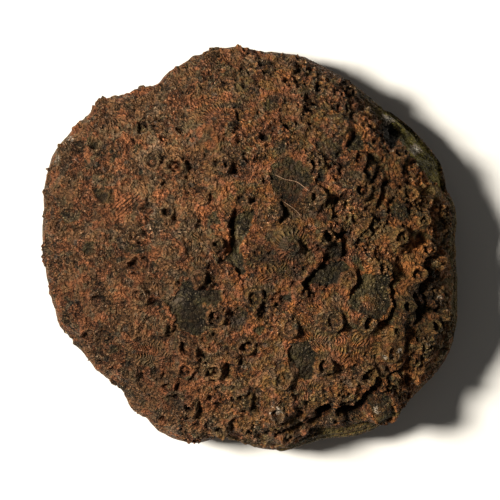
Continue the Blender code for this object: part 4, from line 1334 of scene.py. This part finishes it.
def rootlet(name, radius, line):
    """A thin tube that lies on the stone and bridges its smallest hollows."""
    line = np.array(line, float)
    n = 8 * (len(line) - 1) + 1
    at = np.linspace(0.0, len(line) - 1.0, n)
    px = np.interp(at, np.arange(len(line)), line[:, 0])
    py = np.interp(at, np.arange(len(line)), line[:, 1])
    soften = np.array([0.25, 0.5, 0.25])
    for _ in range(12):
        px[1:-1] = np.convolve(px, soften, "valid")
        py[1:-1] = np.convolve(py, soften, "valid")
    seen_now = drawn(HIGH + MIDDLE)
    z = np.empty(n)
    for i in range(n):
        near_ = np.nonzero((np.hypot(seen_now[:, 0] - px[i], seen_now[:, 1] - py[i]) < 1.6) & (up > 0.9))[0]
        z[i] = np.percentile(HIGH[near_, 2], 75)
    high = np.array([z[max(0, i - 3):i + 4].max() for i in range(n)])
    for _ in range(14):
        high[1:-1] = np.convolve(high, soften, "valid")
    z = high - 0.05
    k_ = UNIT * (CAM_HIGH - z) / (CAM_HIGH - RIM_LEVEL)
    path = np.stack([(px - 249.5) * k_, (249.0 - py) * k_, z], axis=1) * 0.001
    curve = bpy.data.curves.new(name, "CURVE")
    curve.dimensions = "3D"
    curve.bevel_depth = radius * 0.001
    curve.bevel_resolution = 1
    curve.use_fill_caps = True
    spline = curve.splines.new("POLY")
    spline.points.add(n - 1)
    for i, q in enumerate(path):
        spline.points[i].co = (*q, 1.0)
        spline.points[i].radius = (0.75 + 0.25 * math.sin(1.7 * i)) * (0.35 + 0.65 * min(1.0, i / 4.0, (n - 1 - i) / 4.0))
    tube = bpy.data.objects.new(name + "_curve", curve)
    bpy.context.scene.collection.objects.link(tube)
    bpy.context.view_layer.update()
    body = bpy.data.meshes.new_from_object(tube.evaluated_get(bpy.context.evaluated_depsgraph_get()))
    bpy.data.objects.remove(tube)
    body.name = name
    for poly in body.polygons:
        poly.use_smooth = True
    strand = bpy.data.objects.new(name, body)
    bpy.context.scene.collection.objects.link(strand)
    return strand


def rootlet_material():
    mat = bpy.data.materials.new("dry_rootlet")
    mat.use_nodes = True
    nt = mat.node_tree
    bsdf = nt.nodes["Principled BSDF"]
    where = nt.nodes.new("ShaderNodeTexCoord")
    mottle = nt.nodes.new("ShaderNodeTexNoise")
    mottle.inputs["Scale"].default_value = 1400.0
    mottle.inputs["Detail"].default_value = 3.0
    nt.links.new(where.outputs["Object"], mottle.inputs["Vector"])
    tones = nt.nodes.new("ShaderNodeMix")
    tones.data_type = "RGBA"
    tones.inputs[6].default_value = (0.11, 0.060, 0.032, 1.0)
    tones.inputs[7].default_value = (0.36, 0.225, 0.135, 1.0)
    nt.links.new(mottle.outputs["Fac"], tones.inputs[0])
    nt.links.new(tones.outputs[2], bsdf.inputs["Base Color"])
    bsdf.inputs["Roughness"].default_value = 0.7
    bsdf.inputs["Specular IOR Level"].default_value = 0.2
    bump = nt.nodes.new("ShaderNodeBump")
    bump.inputs["Distance"].default_value = 0.00008
    nt.links.new(mottle.outputs["Fac"], bump.inputs["Height"])
    nt.links.new(bump.outputs["Normal"], bsdf.inputs["Normal"])
    return mat


strand_mat = rootlet_material()
for name, radius, line in ROOTLETS:
    strand = rootlet(name, radius, line)
    strand.data.materials.clear()
    strand.data.materials.append(strand_mat)
    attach(strand, "root")

# ------------------------------------------------------------------ floor, light, camera
floor_mesh = bpy.data.meshes.new("floor")
floor_mesh.from_pydata([(-3, -3, -0.0002), (3, -3, -0.0002), (3, 3, -0.0002), (-3, 3, -0.0002)], [], [(0, 1, 2, 3)])
floor = bpy.data.objects.new("floor", floor_mesh)
bpy.context.scene.collection.objects.link(floor)
floor_mat = bpy.data.materials.new("floor_paper")
floor_mat.use_nodes = True
floor_bsdf = floor_mat.node_tree.nodes["Principled BSDF"]
floor_bsdf.inputs["Base Color"].default_value = (0.62, 0.61, 0.59, 1.0)
floor_bsdf.inputs["Roughness"].default_value = 0.9
floor_mesh.materials.append(floor_mat)


def area(name, where, size, power, colour):
    light = bpy.data.lights.new(name, "AREA")
    light.shape = "SQUARE"
    light.size = size
    light.energy = power
    light.color = colour
    lamp = bpy.data.objects.new(name, light)
    lamp.location = where
    lamp.rotation_euler = (Vector((0, 0, 0.02)) - Vector(where)).to_track_quat("-Z", "Y").to_euler()
    bpy.context.scene.collection.objects.link(lamp)
    return lamp


area("key_light", (-1.36, 0.24, 1.68), 0.42, 125.0, (1.0, 0.950, 0.855))

world = bpy.data.worlds.new("studio")
bpy.context.scene.world = world
world.use_nodes = True
world.node_tree.nodes["Background"].inputs["Color"].default_value = (1.0, 0.97, 0.91, 1.0)
world.node_tree.nodes["Background"].inputs["Strength"].default_value = 0.09

cam_data = bpy.data.cameras.new("camera")
cam = bpy.data.objects.new("camera", cam_data)
bpy.context.scene.collection.objects.link(cam)
cam.location = (0.00014, -0.00028, CAM_HIGH * 0.001)
cam.rotation_euler = (0.0, 0.0, 0.0)
cam_data.sensor_width = 36.0
cam_data.sensor_fit = "HORIZONTAL"
cam_data.lens = 36.0 * (CAM_HIGH - RIM_LEVEL) / (500 * UNIT)
cam_data.clip_start = 0.01
cam_data.clip_end = 10.0
bpy.context.scene.camera = cam
bpy.context.scene.view_settings.view_transform = "Standard"
bpy.context.scene.view_settings.look = "None"
